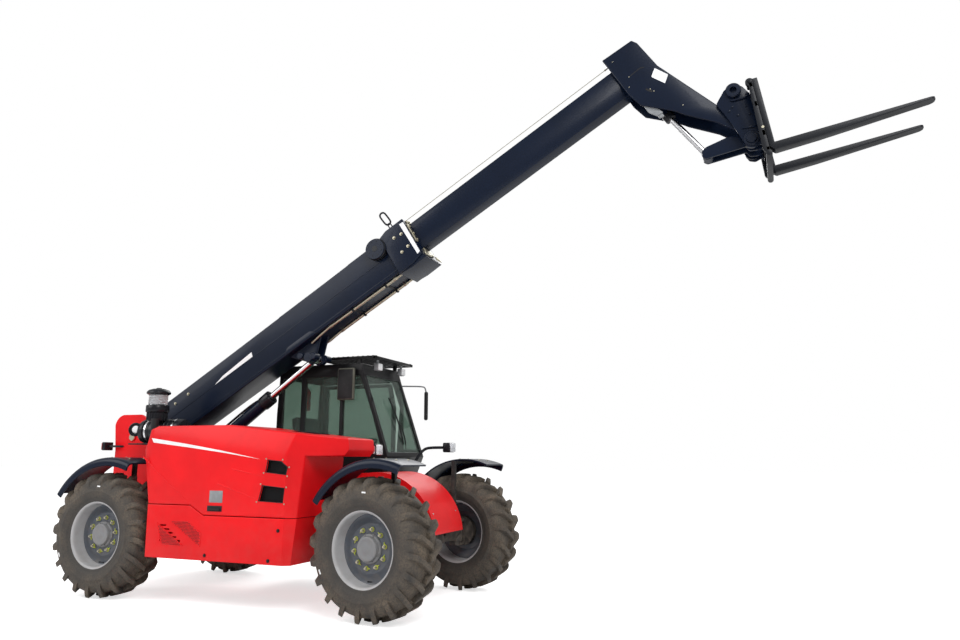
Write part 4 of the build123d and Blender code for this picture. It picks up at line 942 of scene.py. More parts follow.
def softened(
    frame: dict, node: str, width: float, keep: Callable[[Vector], bool] = lambda middle: True,
    move: Callable[[Vector], Vector] | None = None, steps: int = 2, least: float = 0.03,
) -> Shape:
    """A copy of a CAD node's mesh with its long outer edges rounded.

    Args:
        frame: The loaded frame.
        node: The node's name.
        width: The bevel's width.
        keep: Says of an edge's middle whether the edge is rounded.
        move: Shifts a vertex, or None.
        steps: The bevel's segments.
        least: The shortest edge that is rounded.

    Returns:
        The copy, as a piece under construction.
    """
    shape = Shape()
    shape.mesh.from_mesh(frame["nodes"][node].data)
    bmesh.ops.remove_doubles(shape.mesh, verts=shape.mesh.verts, dist=2e-5)
    if move:
        for vert in shape.mesh.verts:
            vert.co = move(vert.co)
    bmesh.ops.dissolve_limit(
        shape.mesh, angle_limit=math.radians(0.6), verts=shape.mesh.verts, edges=shape.mesh.edges,
        use_dissolve_boundaries=False, delimit={"NORMAL"},
    )
    edges = [
        edge for edge in shape.mesh.edges
        if len(edge.link_faces) == 2 and edge.is_convex and edge.calc_face_angle(0) > math.radians(24)
        and edge.calc_length() > least and keep((edge.verts[0].co + edge.verts[1].co) / 2)
    ]
    if width > 0:
        bmesh.ops.bevel(
            shape.mesh, geom=edges, offset=width, offset_type="OFFSET", segments=steps, profile=0.5,
            affect="EDGES", clamp_overlap=False, material=-1,
        )
    bmesh.ops.triangulate(shape.mesh, faces=[face for face in shape.mesh.faces if len(face.verts) > 4])
    return shape


@dataclass
class Wheel:
    """One wheel station: the tyre with its lugs, the dished rim with its nuts, and the mudguard."""

    name: str
    axle_x: float
    side: Side
    steer: float = 0.0
    kingpin_y: float = 0.7735
    offset: float = 0.165
    lug_count: int = 20
    lug_angle: float = 31.0
    lug_width: float = 0.050
    nut_count: int = 10
    guard_centre: tuple[float, float] = (0.100, -0.028)
    guard_radius: float = 0.7678
    guard_front: float = 68.5
    guard_rear: float = 147.2
    nut_circle: float = 0.160
    disc_face: float = 0.0575

    def __post_init__(self) -> None:
        """Works out the wheel's own frame: X forward, Y outboard, Z up."""
        turn = math.radians(self.steer)
        ahead = Vector((math.cos(turn), math.sin(turn), 0.0))
        outward = Vector((-math.sin(turn), math.cos(turn), 0.0)) * self.side.value
        pin = Vector((self.axle_x, self.side.value * self.kingpin_y, WHEEL_HEIGHT))
        self.centre = pin + outward * self.offset
        self.place = Matrix.Translation(self.centre) @ Matrix(
            (
                (ahead.x, outward.x, 0.0, 0.0), (ahead.y, outward.y, 0.0, 0.0), (0.0, 0.0, 1.0, 0.0),
                (0.0, 0.0, 0.0, 1.0),
            )
        )
        self.outward = outward

    def carcass(self) -> Shape:
        """The tyre's body, turned about the wheel's axle.

        Returns:
            The piece under construction.
        """
        outer = (
            (0.305, 0.157), (0.316, 0.171), (0.333, 0.175), (0.345, 0.1765), (0.352, 0.183), (0.372, 0.188),
            (0.400, 0.1945), (0.412, 0.1985), (0.420, 0.1985), (0.424, 0.1955), (0.450, 0.1945),
            (0.475, 0.188), (0.500, 0.176), (0.522, 0.155), (0.535, 0.128), (0.541, 0.090), (0.544, 0.040),
        )
        ring = [*outer, *[(radius, -y) for radius, y in reversed(outer)]]
        shape = Shape(self.place)
        shape.turned(ring, (0, 0, 0), (0, 1, 0), sides=96, closed=True)
        return shape

    def lug(self, row: int, turn: float) -> bmesh.types.BMesh:
        """One slanting lug, bent round the tread and down over the shoulder.

        Args:
            row: 1 for the outboard row, -1 for the inboard one.
            turn: The angle of its middle round the wheel, in degrees.

        Returns:
            The lug's bmesh in the wheel's frame.
        """
        part = bmesh.new()
        bmesh.ops.create_cube(part, size=1.0)
        lengthways = [edge for edge in part.edges if abs(edge.verts[0].co.x - edge.verts[1].co.x) > 0.5]
        bmesh.ops.subdivide_edges(part, edges=lengthways, cuts=7)
        rims = [edge for edge in part.edges if edge.verts[0].co.z > 0 and edge.verts[1].co.z > 0
                and edge.is_manifold and edge.calc_face_angle(0) > 1.0]
        bmesh.ops.bevel(
            part, geom=rims, offset=0.1, offset_type="OFFSET", segments=2, profile=0.5, affect="EDGES",
            clamp_overlap=True, material=-1,
        )
        lean = math.tan(math.radians(self.lug_angle))
        for vert in part.verts:
            across = -0.014 + (vert.co.x + 0.5) * 0.208
            fall = max(0.0, across - 0.135) / 0.059
            crown = 0.5885 - 0.0035 * max(0.0, across) / 0.135 - 0.078 * fall**2.2
            root = 0.536 - 0.09 * max(0.0, across - 0.120) / 0.074
            height = vert.co.z + 0.5
            radius = root + (crown - root) * height
            width = self.lug_width * (1.18 - 0.26 * height) * (1.0 + 0.16 * fall)
            slide = (across + 0.014) * lean - 0.0523 + vert.co.y * width
            angle = math.radians(turn) + slide / 0.575
            vert.co = Vector((math.cos(angle) * radius, row * across, math.sin(angle) * radius))
        bmesh.ops.recalc_face_normals(part, faces=part.faces)
        return part

    def tyre(self) -> None:
        """Builds the tyre with both rows of lugs."""
        shape = self.carcass()
        step = 360.0 / self.lug_count
        for row, start in ((1, 0.5), (-1, 0.0)):
            for count in range(self.lug_count):
                shape.join(self.lug(row, step * (count + start)))
        body = f"wheel_{self.name}"
        tread = Tread(f"rubber_{self.name}", self.centre, self.outward).make()
        made = shape.piece(f"tread_{self.name}", body, Finish.RUBBER, [f"tyre_{self.name}"], 40.0)
        made.data.materials[0] = tread
        marks = Shape(self.place)
        for turn in (118.0, -28.0):
            marks.turned(
                ((0.455, -0.001), (0.455, 0.0012), (0.468, 0.0012), (0.468, -0.001)),
                (0, 0.1935, 0), (0, 1, 0), sides=5, closed=True, sweep=5.0,
            )
            bmesh.ops.rotate(
                marks.mesh, cent=(0, 0, 0), matrix=Matrix.Rotation(math.radians(turn), 3, "Y"),
                verts=marks.mesh.verts,
            )
        marks.piece(f"paint_dashes_{self.name}", body, Finish.WHITE)

    def rim(self) -> None:
        """Builds the rim's barrel, disc, hub, wheel nuts, tags and valve."""
        body = f"wheel_{self.name}"
        barrel = Shape(self.place)
        front = (
            (0.3045, 0.150), (0.3085, 0.160), (0.320, 0.1635), (0.3285, 0.1655), (0.332, 0.168),
            (0.3315, 0.171), (0.327, 0.1713), (0.3145, 0.170), (0.304, 0.167), (0.2975, 0.160),
            (0.2925, 0.148), (0.2905, 0.120), (0.2905, 0.070), (0.286, 0.058), (0.286, 0.030),
        )
        ring = [*front, (0.2905, 0.0), *[(radius, -y) for radius, y in reversed(front)], (0.3045, 0.0)]
        barrel.turned(ring, (0, 0, 0), (0, 1, 0), sides=96, closed=True)
        barrel.piece(f"rim_barrel_{self.name}", body, Finish.SILVER, [f"rim_{self.name}"])
        # The disc and the hub take darker copies of the rim's silver: painted shade inside the dished rim.
        disc = Shape(self.place)
        disc.turned(
            (
                (0.062, 0.040), (0.062, 0.058), (0.196, 0.058), (0.206, 0.055), (0.222, 0.043),
                (0.262, 0.034), (0.276, 0.036), (0.2895, 0.042), (0.2895, 0.022), (0.262, 0.016),
                (0.222, 0.022), (0.196, 0.040),
            ),
            (0, 0, 0), (0, 1, 0), sides=96, closed=True,
        )
        disc.piece(f"rim_disc_{self.name}", body, Finish.SHADED_DISC)
        hub = Shape(self.place)
        hub.turned(
            (
                (0.0, 0.112), (0.030, 0.112), (0.034, 0.110), (0.070, 0.110), (0.076, 0.1125),
                (0.092, 0.1125), (0.099, 0.109), (0.102, 0.100), (0.104, 0.078), (0.118, 0.074),
                (0.122, 0.068), (0.122, 0.056), (0.0, 0.056),
            ),
            (0, 0, 0), (0, 1, 0), sides=64,
        )
        for count in range(8):
            turn = math.radians(45.0 * count + 22.5)
            hub.bolt((0.111 * math.cos(turn), 0.075, 0.111 * math.sin(turn)), (0, 1, 0), 0.0065, 0.008)
        hub.piece(f"hub_cap_{self.name}", body, Finish.SHADED_HUB)
        nuts, tags = Shape(self.place), Shape(self.place)
        for count in range(self.nut_count):
            turn = math.radians(360.0 / self.nut_count * count + 9.0)
            seat = Vector(
                (self.nut_circle * math.cos(turn), self.disc_face, self.nut_circle * math.sin(turn))
            )
            nuts.rod(seat, seat + Vector((0, 0.006, 0)), 0.021, 0.018, sides=20)
            nuts.rod(
                seat + Vector((0, 0.005, 0)), seat + Vector((0, 0.024, 0)), 0.0155, sides=6, soft=0.0015,
            )
            nuts.rod(
                seat + Vector((0, 0.022, 0)), seat + Vector((0, 0.036, 0)), 0.010, sides=14, soft=0.001,
            )
            tip = turn + 0.24
            point = Vector((self.nut_circle * math.cos(tip), 0.066, self.nut_circle * math.sin(tip)))
            tags.rod(seat + Vector((0, 0.008, 0)), seat + Vector((0, 0.011, 0)), 0.019, sides=16)
            tags.rod(seat + Vector((0, 0.0095, 0)), point, 0.008, 0.002, sides=8)
        nuts.piece(f"wheel_nuts_{self.name}", body, Finish.ZINC)
        tags.piece(f"nut_tags_{self.name}", body, Finish.TAG)
        valve = Shape(self.place)
        valve.rod((0.02, 0.045, -0.264), (0.02, 0.098, -0.256), 0.0045, sides=12)
        valve.rod((0.02, 0.088, -0.2577), (0.02, 0.104, -0.255), 0.0062, sides=12, soft=0.001)
        valve.piece(f"valve_{self.name}", body, Finish.MATT)

    def mudguard(self) -> None:
        """Builds the mudguard: a curved sheet with a rolled outer lip."""
        radius = self.guard_radius
        section = (
            (radius - 0.014, -0.198), (radius, -0.198), (radius, 0.140), (radius - 0.003, 0.166),
            (radius - 0.012, 0.186), (radius - 0.028, 0.197), (radius - 0.050, 0.200),
            (radius - 0.078, 0.198), (radius - 0.084, 0.190), (radius - 0.078, 0.182),
            (radius - 0.052, 0.184), (radius - 0.030, 0.178), (radius - 0.018, 0.166),
            (radius - 0.014, 0.140),
        )
        shape = Shape(self.place)
        sweep = self.guard_rear - self.guard_front
        shape.turned(section, (0, 0, 0), (0, 1, 0), sides=44, closed=True, sweep=sweep)
        # The spin starts at 180 degrees, so this turn brings that end to the guard's rear.
        bmesh.ops.rotate(
            shape.mesh, cent=(0, 0, 0), matrix=Matrix.Rotation(
                math.radians(180.0 - self.guard_rear), 3, "Y",
            ),
            verts=shape.mesh.verts,
        )
        bmesh.ops.translate(
            shape.mesh, vec=(self.guard_centre[0], 0.0, self.guard_centre[1]), verts=shape.mesh.verts
        )
        shape.piece(
            f"guard_sheet_{self.name}", f"knuckle_{self.name}", Finish.NAVY, [f"mudguard_{self.name}"],
        )
        stays = Shape(self.place)
        for x in (0.018, -0.22, 0.25):
            reach = math.sqrt(radius**2 - (x - self.guard_centre[0]) ** 2) + self.guard_centre[1]
            for y in (-0.12, 0.06):
                stays.bolt(
                    (x, y, reach), (x - self.guard_centre[0], 0, reach - self.guard_centre[1]), 0.008,
                    0.008,
                )
        stays.piece(f"guard_bolts_{self.name}", f"knuckle_{self.name}", Finish.ZINC)

    def build(self) -> None:
        """Builds the station's pieces."""
        self.tyre()
        self.rim()
        self.mudguard()


@dataclass
class Boom:
    """The outer boom with its collar, drum, pipes and chain, and the inner boom's line."""

    frame: dict
    half: float = 0.170
    collar_half: float = 0.215
    underside: float = -0.2365
    drawn_share: float = 0.30
    block_front: float = 3.9
    chain_base: float = 0.2146
    pipe_y: float = 0.120
    line_v: float = 0.284
    drum: tuple[float, float] = (3.481, 0.108)

    def outer(self) -> None:
        """Rounds the outer boom and draws its collar's underside in."""
        inverse = BOOM.inverted()

        def drawn_in(point: Vector) -> Vector:
            """Raises what hangs below the boom's own underside at the collar.

            Args:
                point: A corner in the shared frame.

            Returns:
                Where the corner goes.
            """
            own = inverse @ point
            if own.z < self.underside and own.x > 3.4:
                own.z = self.underside + (own.z - self.underside) * self.drawn_share
            own.x = min(own.x, self.block_front)
            return BOOM @ own

        def outside(middle: Vector) -> bool:
            """Whether an edge's middle lies on the boom's outside.

            Args:
                middle: The middle of an edge in the shared frame.

            Returns:
                True where the edge is to be rounded.
            """
            own = inverse @ middle
            return abs(own.y) > 0.165 or own.z > 0.17 or own.z < -0.23

        shape = softened(self.frame, "outer_boom", 0.009, outside, drawn_in, 3, 0.06)
        loop = [
            vert for vert in shape.mesh.verts
            if (inverse @ vert.co).z > self.chain_base and abs(vert.co.y) < 0.035
            and 3.6 < (inverse @ vert.co).x < 3.75
        ]
        bmesh.ops.delete(shape.mesh, geom=loop, context="VERTS")
        shape.piece("boom_tube", "outer_boom", Finish.NAVY, ["outer_boom"])
        seams = Shape(BOOM)
        for side in (1, -1):
            seams.box((0.28, side * self.half, -0.016), (3.56, side * (self.half + 0.0035), -0.008))
            seams.box((0.45, side * self.half, -0.205), (3.56, side * (self.half + 0.004), -0.196))
            seams.plate(
                ((2.02, -0.232), (2.46, -0.232), (2.40, -0.17), (2.08, -0.17)),
                side * self.half, side * (self.half + 0.006), 0.002, 0.02,
            )
            for u, v in ((2.166, -0.327), (2.300, -0.415)):
                seams.turned(
                    ((0.0, 0.012), (0.030, 0.012), (0.036, 0.006), (0.036, -0.080), (0.0, -0.080)),
                    (u, side * 0.150, v), (0, side, 0), 36,
                )
        seams.piece("boom_seams", "outer_boom", Finish.NAVY)

    def marks(self) -> None:
        """Adds the pale stripe on the boom's flank and the band on the collar's edge."""
        shape = Shape(BOOM)
        for side in (1, -1):
            y = side * (self.half + 0.001)
            shape.plate(
                ((1.101, -0.008), (1.665, -0.012), (1.678, 0.044), (1.237, 0.022)), y, y + side * 0.001,
            )
            edge = side * (self.collar_half + 0.0005)
            shape.plate(
                ((3.826, 0.178), (3.874, 0.172), (3.876, -0.205), (3.840, -0.216)), edge, edge + side * 0.0015
            )
        shape.piece("boom_stripes", "outer_boom", Finish.WHITE)

    def collar(self) -> None:
        """Adds the collar's wear pads, bolts, drum cap and chain."""
        pads = Shape(BOOM)
        edge = 0.150
        pads.box((3.878, -edge, 0.165), (3.898, edge, 0.206), 0.004)
        pads.box((3.878, -0.10, -0.205), (3.900, 0.10, -0.140), 0.004)
        for side in (1, -1):
            pads.box((3.878, side * 0.128, -0.07), (3.896, side * 0.185, 0.150), 0.004)
            pads.box((3.905, side * 0.06, -0.262), (3.918, side * 0.185, -0.225), 0.004)
        pads.piece("collar_pads", "outer_boom", Finish.ZINC)
        bolts = Shape(BOOM)
        for side in (1, -1):
            y = side * self.collar_half
            for u, v in ((3.708, 0.087), (3.793, 0.075), (3.794, -0.082), (3.709, -0.096)):
                bolts.bolt((u, y, v), (0, side, 0), 0.0125, 0.012)
            for v in (0.12, 0.03, -0.05):
                bolts.bolt((3.897, side * 0.156, v), (1, 0, 0), 0.010, 0.010)
        for y in (-0.11, 0.0, 0.11):
            bolts.bolt((3.899, y, 0.186), (1, 0, 0), 0.010, 0.010)
        for u in (0.55, 0.75):
            for side in (1, -1):
                bolts.bolt((u, side * self.half, 0.10), (0, side, 0), 0.012, 0.012)
        bolts.piece("collar_bolts", "outer_boom", Finish.ZINC)
        drum = Shape(BOOM)
        for side in (1, -1):
            drum.turned(
                (
                    (0.0, 0.0805), (0.030, 0.0805), (0.034, 0.076), (0.088, 0.074), (0.106, 0.068),
                    (0.114, 0.056), (0.115, 0.0), (0.0, 0.0),
                ),
                (self.drum[0], side * (self.half - 0.004), self.drum[1]), (0, side, 0), 56,
            )
            for count in range(8):
                turn = math.radians(45 * count)
                drum.bolt(
                    (
                        self.drum[0] + 0.078 * math.cos(turn), side * (self.half + 0.070),
                        self.drum[1] + 0.078 * math.sin(turn),
                    ),
                    (0, side, 0), 0.007, 0.007,
                )
        drum.piece("chain_drum", "outer_boom", Finish.GLOSS)
        chain = Shape(BOOM)
        for u, v, turn in ((3.690, 0.225, 0.0), (3.683, 0.285, 90.0), (3.676, 0.345, 0.0)):
            self.link(chain, u, v, turn, 0.040, 0.017, 0.0065)
        self.link(chain, 3.6665, 0.455, 0.0, 0.085, 0.034, 0.010)
        chain.rod((3.690, -0.03, 0.212), (3.690, 0.03, 0.212), 0.012, soft=0.002)
        chain.box((3.660, -0.022, 0.205), (3.720, 0.022, 0.222), 0.003)
        chain.piece("lashing_chain", "outer_boom", Finish.GLOSS)

    @staticmethod
    def link(
        shape: Shape, u: float, v: float, turn: float, half: float, radius: float, wire: float,
    ) -> None:
        """Adds one long link standing up from the boom.

        Args:
            shape: The piece under construction.
            u: Its middle along the boom.
            v: Its middle square to the boom.
            turn: Its turn about its own length, in degrees.
            half: Half its length.
            radius: Half its width.
            wire: Its wire's radius.
        """
        rows = [
            (half - radius * (1 - math.sin(a)), radius * math.cos(a)) for a in (0, math.pi / 4, math.pi / 2)
        ]
        loop = [*rows, *[(h, -w) for h, w in reversed(rows[:-1])]]
        loop = [*loop, *[(-h, w) for h, w in [(h, w) for h, w in loop]]]
        spin, lean = math.radians(turn), Vector((-0.12, 0.0, 1.0)).normalized()
        across = Vector((math.cos(spin), math.sin(spin), 0.0))
        ordered = sorted(loop, key=lambda point: math.atan2(point[0], point[1]))
        path = [Vector((u, 0.0, v)) + lean * h + across * w for h, w in ordered]
        shape.tube(path, wire, closed=True)

    def pipes(self) -> None:
        """Adds the pipe runs' clamps and fittings and the thin line over the inner boom."""
        pipes = Shape(BOOM)
        for side in (1, -1):
            y = side * self.pipe_y
            pipes.tube(
                ((2.60, y, -0.246), (2.50, y, -0.252), (2.42, y, -0.262), (2.33, y * 0.8, -0.262)), 0.013
            )
            pipes.tube(
                ((3.50, y, -0.248), (3.60, y, -0.252), (3.66, y * 0.9, -0.245), (3.74, y * 0.8, -0.225)),
                0.012,
            )
            pipes.rod((2.590, y, -0.2475), (3.510, y, -0.2475), 0.0158)
            for u in (2.62, 3.48):
                pipes.rod((u - 0.022, y, -0.247), (u + 0.022, y, -0.247), 0.020, sides=6, soft=0.001)
        pipes.piece("boom_pipes", "outer_boom", Finish.ZINC)
        clamps = Shape(BOOM)
        for u in (2.92, 3.36):
            clamps.box((u - 0.012, -0.142, -0.268), (u + 0.012, -0.098, -0.234), 0.004)
            clamps.box((u - 0.012, 0.098, -0.268), (u + 0.012, 0.142, -0.234), 0.004)
            clamps.box((u - 0.012, -0.15, -0.240), (u + 0.012, 0.15, -0.234))
        clamps.piece("pipe_clamps", "outer_boom", Finish.MATT)
        line = Shape(BOOM)
        line.tube(((3.83, 0.0, self.line_v), (6.36, 0.0, self.line_v)), 0.0032, curved=False)
        line.rod((6.33, 0.0, self.line_v), (6.40, 0.0, self.line_v), 0.008, sides=12)
        line.piece("tell_tale_line", "inner_boom", Finish.ZINC)
        eye = Shape(BOOM)
        eye.box((3.80, -0.008, 0.212), (3.84, 0.008, 0.274), 0.003)
        eye.turned(
            ((0.0075, -0.006), (0.0135, -0.006), (0.0135, 0.006), (0.0075, 0.006)), (3.83, 0, self.line_v),
            (1, 0, 0), 20, True,
        )
        eye.piece("line_eye", "outer_boom", Finish.MATT)

    def build(self) -> None:
        """Builds the boom's pieces."""
        self.outer()
        self.marks()
        self.collar()
        self.pipes()
        inner = softened(self.frame, "inner_boom", 0.006, steps=2, least=0.1)
        inner.piece("inner_tube", "inner_boom", Finish.NAVY, ["inner_boom"])


@dataclass
class Head:
    """The boom head with painted slot shade and other marks on its plates, the tilt cylinder's trim and the
    carriage.
    """

    frame: dict
    half: float = 0.150
    plate_y: float = 0.160
    gauge: float = 0.022

    def head(self) -> None:
        """Rounds the head and adds dark plates painted as its slots' shade, its studs, blank plate and
        bracket.
        """
        inverse = BOOM.inverted()

        def trimmed(point: Vector) -> Vector:
            """Lifts the head's rear lower corner.

            Args:
                point: A corner in the shared frame.

            Returns:
                Where the corner goes.
            """
            own = inverse @ point
            if own.z < -0.25 and own.x < 6.60:
                own.z += 0.035
            return BOOM @ own

        shape = softened(self.frame, "boom_head", 0.010, move=trimmed, steps=3, least=0.05)
        shape.piece("head_box", "inner_boom", Finish.NAVY, ["boom_head"])
        dark = Shape(BOOM)
        studs = Shape(BOOM)
        caps = Shape(BOOM)
        for side in (1, -1):
            face = side * self.half
            skin = face + side * 0.0012
            # Thin dark plates on each face are painted shade standing for the head's slots.
            dark.plate(((6.465, -0.016), (6.580, -0.010), (6.580, -0.002), (6.462, -0.008)), face, skin)
            dark.plate(((6.578, -0.010), (6.613, -0.030), (6.616, -0.024), (6.582, -0.001)), face, skin)
            dark.plate(
                ((6.497, -0.222), (6.512, -0.214), (6.545, -0.275), (6.528, -0.283)), face, skin, 0.0,
                0.006,
            )
            for u, v in (
                (6.454, -0.013), (6.550, -0.285), (6.535, -0.247), (6.669, -0.572), (6.42, 0.22),
                (6.40, -0.10),
            ):
                studs.rod((u, face, v), (u, face + side * 0.004, v), 0.005, sides=14, soft=0.001)
            caps.turned(
                ((0.0, 0.012), (0.040, 0.012), (0.046, 0.006), (0.046, 0.0), (0.0, 0.0)),
                (6.93, side * 0.198, -1.22), (0, side, 0), 32,
            )
        dark.piece("head_slot_shade", "inner_boom", Finish.MATT)
        studs.piece("head_studs", "inner_boom", Finish.ZINC)
        caps.piece("head_pin", "inner_boom", Finish.NAVY)
        sign = Shape(BOOM)
        for side in (1, -1):
            sign.plate(
                ((6.680, -0.097), (6.735, -0.234), (6.667, -0.288), (6.609, -0.151)),
                side * self.half, side * (self.half + 0.0015), 0.0, 0.008,
            )
        sign.piece("blank_plate", "inner_boom", Finish.WHITE)
        bracket = Shape(BOOM)
        bracket.plate(
            ((6.40, -0.345), (6.47, -0.36), (6.50, -0.50), (6.44, -0.50), (6.40, -0.42)), -0.128, -0.116,
            0.002,
        )
        bracket.plate(((6.43, -0.42), (6.50, -0.44), (6.49, -0.53), (6.45, -0.52)), -0.116, -0.090, 0.002)
        bracket.piece("head_bracket", "inner_boom", Finish.GREY)

    def tilt(self) -> None:
        """Adds the tilt cylinder's gland and ports and the rod's eye."""
        base, eye = Vector((6.47, 0.0, 0.10)), Vector((6.585, 0.0, -1.06))
        run = (eye - base).normalized()
        trim = Shape(BOOM)
        mouth = base + run * 0.650
        trim.rod(mouth - run * 0.055, mouth + run * 0.010, 0.0535, sides=40, soft=0.004)
        for along in (0.10, 0.56):
            port = base + run * along
            trim.rod(port + Vector((0.05, 0, 0)), port + Vector((0.085, 0, 0)), 0.014, sides=6)
        trim.piece("tilt_gland", "tilt_barrel", Finish.GLOSS)
        eye_trim = Shape(BOOM)
        eye_trim.turned(
            ((0.030, -0.052), (0.050, -0.052), (0.050, 0.052), (0.030, 0.052)), eye, (0, 1, 0), 36, True
        )
        eye_trim.piece("tilt_eye", "tilt_rod", Finish.NAVY)

    def carriage(self) -> None:
        """Builds the carriage: hitch plates, lever, cross bars, fork frame and its shafts."""
        back, front = 0.078, 0.1057
        body = "carriage"
        hitch = Shape(FORK)
        outline = (
            (-0.211, 0.402), (-0.118, 0.512), (-0.040, 0.535), (0.030, 0.500), (back, 0.410),
            (back, -0.085), (0.052, -0.072), (0.000, -0.090), (-0.052, -0.066), (-0.090, 0.060),
            (-0.150, 0.250),
        )
        lever = (
            (0.060, 0.125), (-0.206, 0.113), (-0.380, 0.082), (-0.424, 0.052), (-0.430, 0.000),
            (-0.400, -0.026), (-0.060, -0.020), (-0.040, -0.066), (0.020, -0.078), (back, -0.070),
            (back, 0.040),
        )
        for side in (1, -1):
            near, far = side * self.plate_y, side * (self.plate_y + self.gauge)
            hitch.plate(outline, near, far, 0.005, 0.02)
            hitch.turned(
                ((0.030, 0.0), (0.030, 0.054), (0.060, 0.054), (0.066, 0.046), (0.066, 0.0)),
                (-0.047, near, 0.474), (0, side, 0), 48, True,
            )
            hitch.plate(
                (
                    (-0.095, 0.396), (-0.080, 0.380), (0.020, 0.372), (0.070, 0.392), (0.066, 0.404),
                    (0.015, 0.386), (-0.075, 0.394),
                ),
                far, far + side * 0.014, 0.002,
            )
            hitch.plate(
                ((-0.060, 0.105), (0.060, 0.085), (0.062, 0.098), (-0.058, 0.118)), far, far + side * 0.012,
                0.002,
            )
            hitch.turned(
                ((0.0365, 0.0), (0.0365, 0.012), (0.064, 0.012), (0.070, 0.006), (0.070, 0.0)),
                (0.0, far, 0.0), (0, side, 0), 40, True,
            )
            hitch.plate(lever, side * 0.058, side * 0.080, 0.005, 0.012)
        hitch.box((-0.30, -0.058, 0.085), (-0.10, 0.058, 0.099), 0.003)
        hitch.piece("hitch_plates", body, Finish.NAVY, ["carriage"])
        fork_frame = Shape(FORK)
        for side in (1, -1):
            fork_frame.plate(
                (
                    (back, 0.442), (front, 0.442), (front, -0.236), (back + 0.004, -0.240), (0.052, -0.190),
                    (back - 0.006, 0.380),
                ),
                side * 0.315, side * 0.345, 0.004, 0.010,
            )
            fork_frame.turned(
                ((0.016, -0.015), (0.034, -0.015), (0.034, 0.015), (0.016, 0.015)),
                (0.086, side * 0.330, 0.436), (0, 1, 0), 32, True,
            )
        for low, high in ((0.384, 0.442), (0.200, 0.250), (-0.075, -0.020), (-0.236, -0.176)):
            fork_frame.box((back, -0.345, low), (front, 0.345, high), 0.004)
        fork_frame.rod((0.092, -0.352, -0.232), (0.092, 0.352, -0.232), 0.026, soft=0.004)
        fork_frame.rod((0.092, -0.355, 0.436), (0.092, 0.355, 0.436), 0.015, soft=0.002)
        fork_frame.piece("fork_frame", body, Finish.CHARCOAL)
        dots, bolts = Shape(FORK), Shape(FORK)
        for f, w in ((0.096, 0.004), (-0.053, -0.020)):
            dots.rod(
                (f, -0.3455 if f > 0 else -0.0805, w), (f, -0.3475 if f > 0 else -0.0825, w), 0.011,
                sides=16,
            )
        for f, w in ((-0.12, 0.30), (-0.06, 0.24), (0.02, 0.30), (-0.09, 0.33), (0.03, 0.22)):
            bolts.bolt((f, -0.182, w), (0, -1, 0), 0.009, 0.008)
            bolts.bolt((f, 0.182, w), (0, 1, 0), 0.009, 0.008)
        dots.piece("carriage_dots", body, Finish.ZINC)
        bolts.piece("carriage_bolts", body, Finish.NAVY)

    def forks(self) -> None:
        """Rounds both forks."""
        for name in ("fork_left", "fork_right"):
            shape = softened(self.frame, name, 0.006, steps=2, least=0.015)
            shape.piece(f"{name}_blade", "carriage", Finish.CHARCOAL, [name])

    def build(self) -> None:
        """Builds the head's and the carriage's pieces."""
        self.head()
        self.tilt()
        self.carriage()
        self.forks()


REAR = Matrix.Translation((REAR_AXLE_X, 0.0, 0.0))


def chords(
    outline: Sequence[tuple[float, float]], pitch: float, key: int,
) -> list[tuple[float, float, float]]:
    """Where evenly spaced lines cross a convex outline.

    Args:
        outline: The outline's corners.
        pitch: The lines' spacing.
        key: 0 for upright lines, 1 for level ones.

    Returns:
        Each line's own place, its start and its end.
    """
    other = 1 - key
    at = min(point[key] for point in outline) + pitch / 2
    found = []
    while at < max(point[key] for point in outline):
        cuts = []
        for first, second in zip(outline, [*outline[1:], outline[0]]):
            if (first[key] - at) * (second[key] - at) < 0:
                share = (at - first[key]) / (second[key] - first[key])
                cuts.append(first[other] + (second[other] - first[other]) * share)
        if len(cuts) == 2:
            found.append((at, min(cuts), max(cuts)))
        at += pitch
    return found


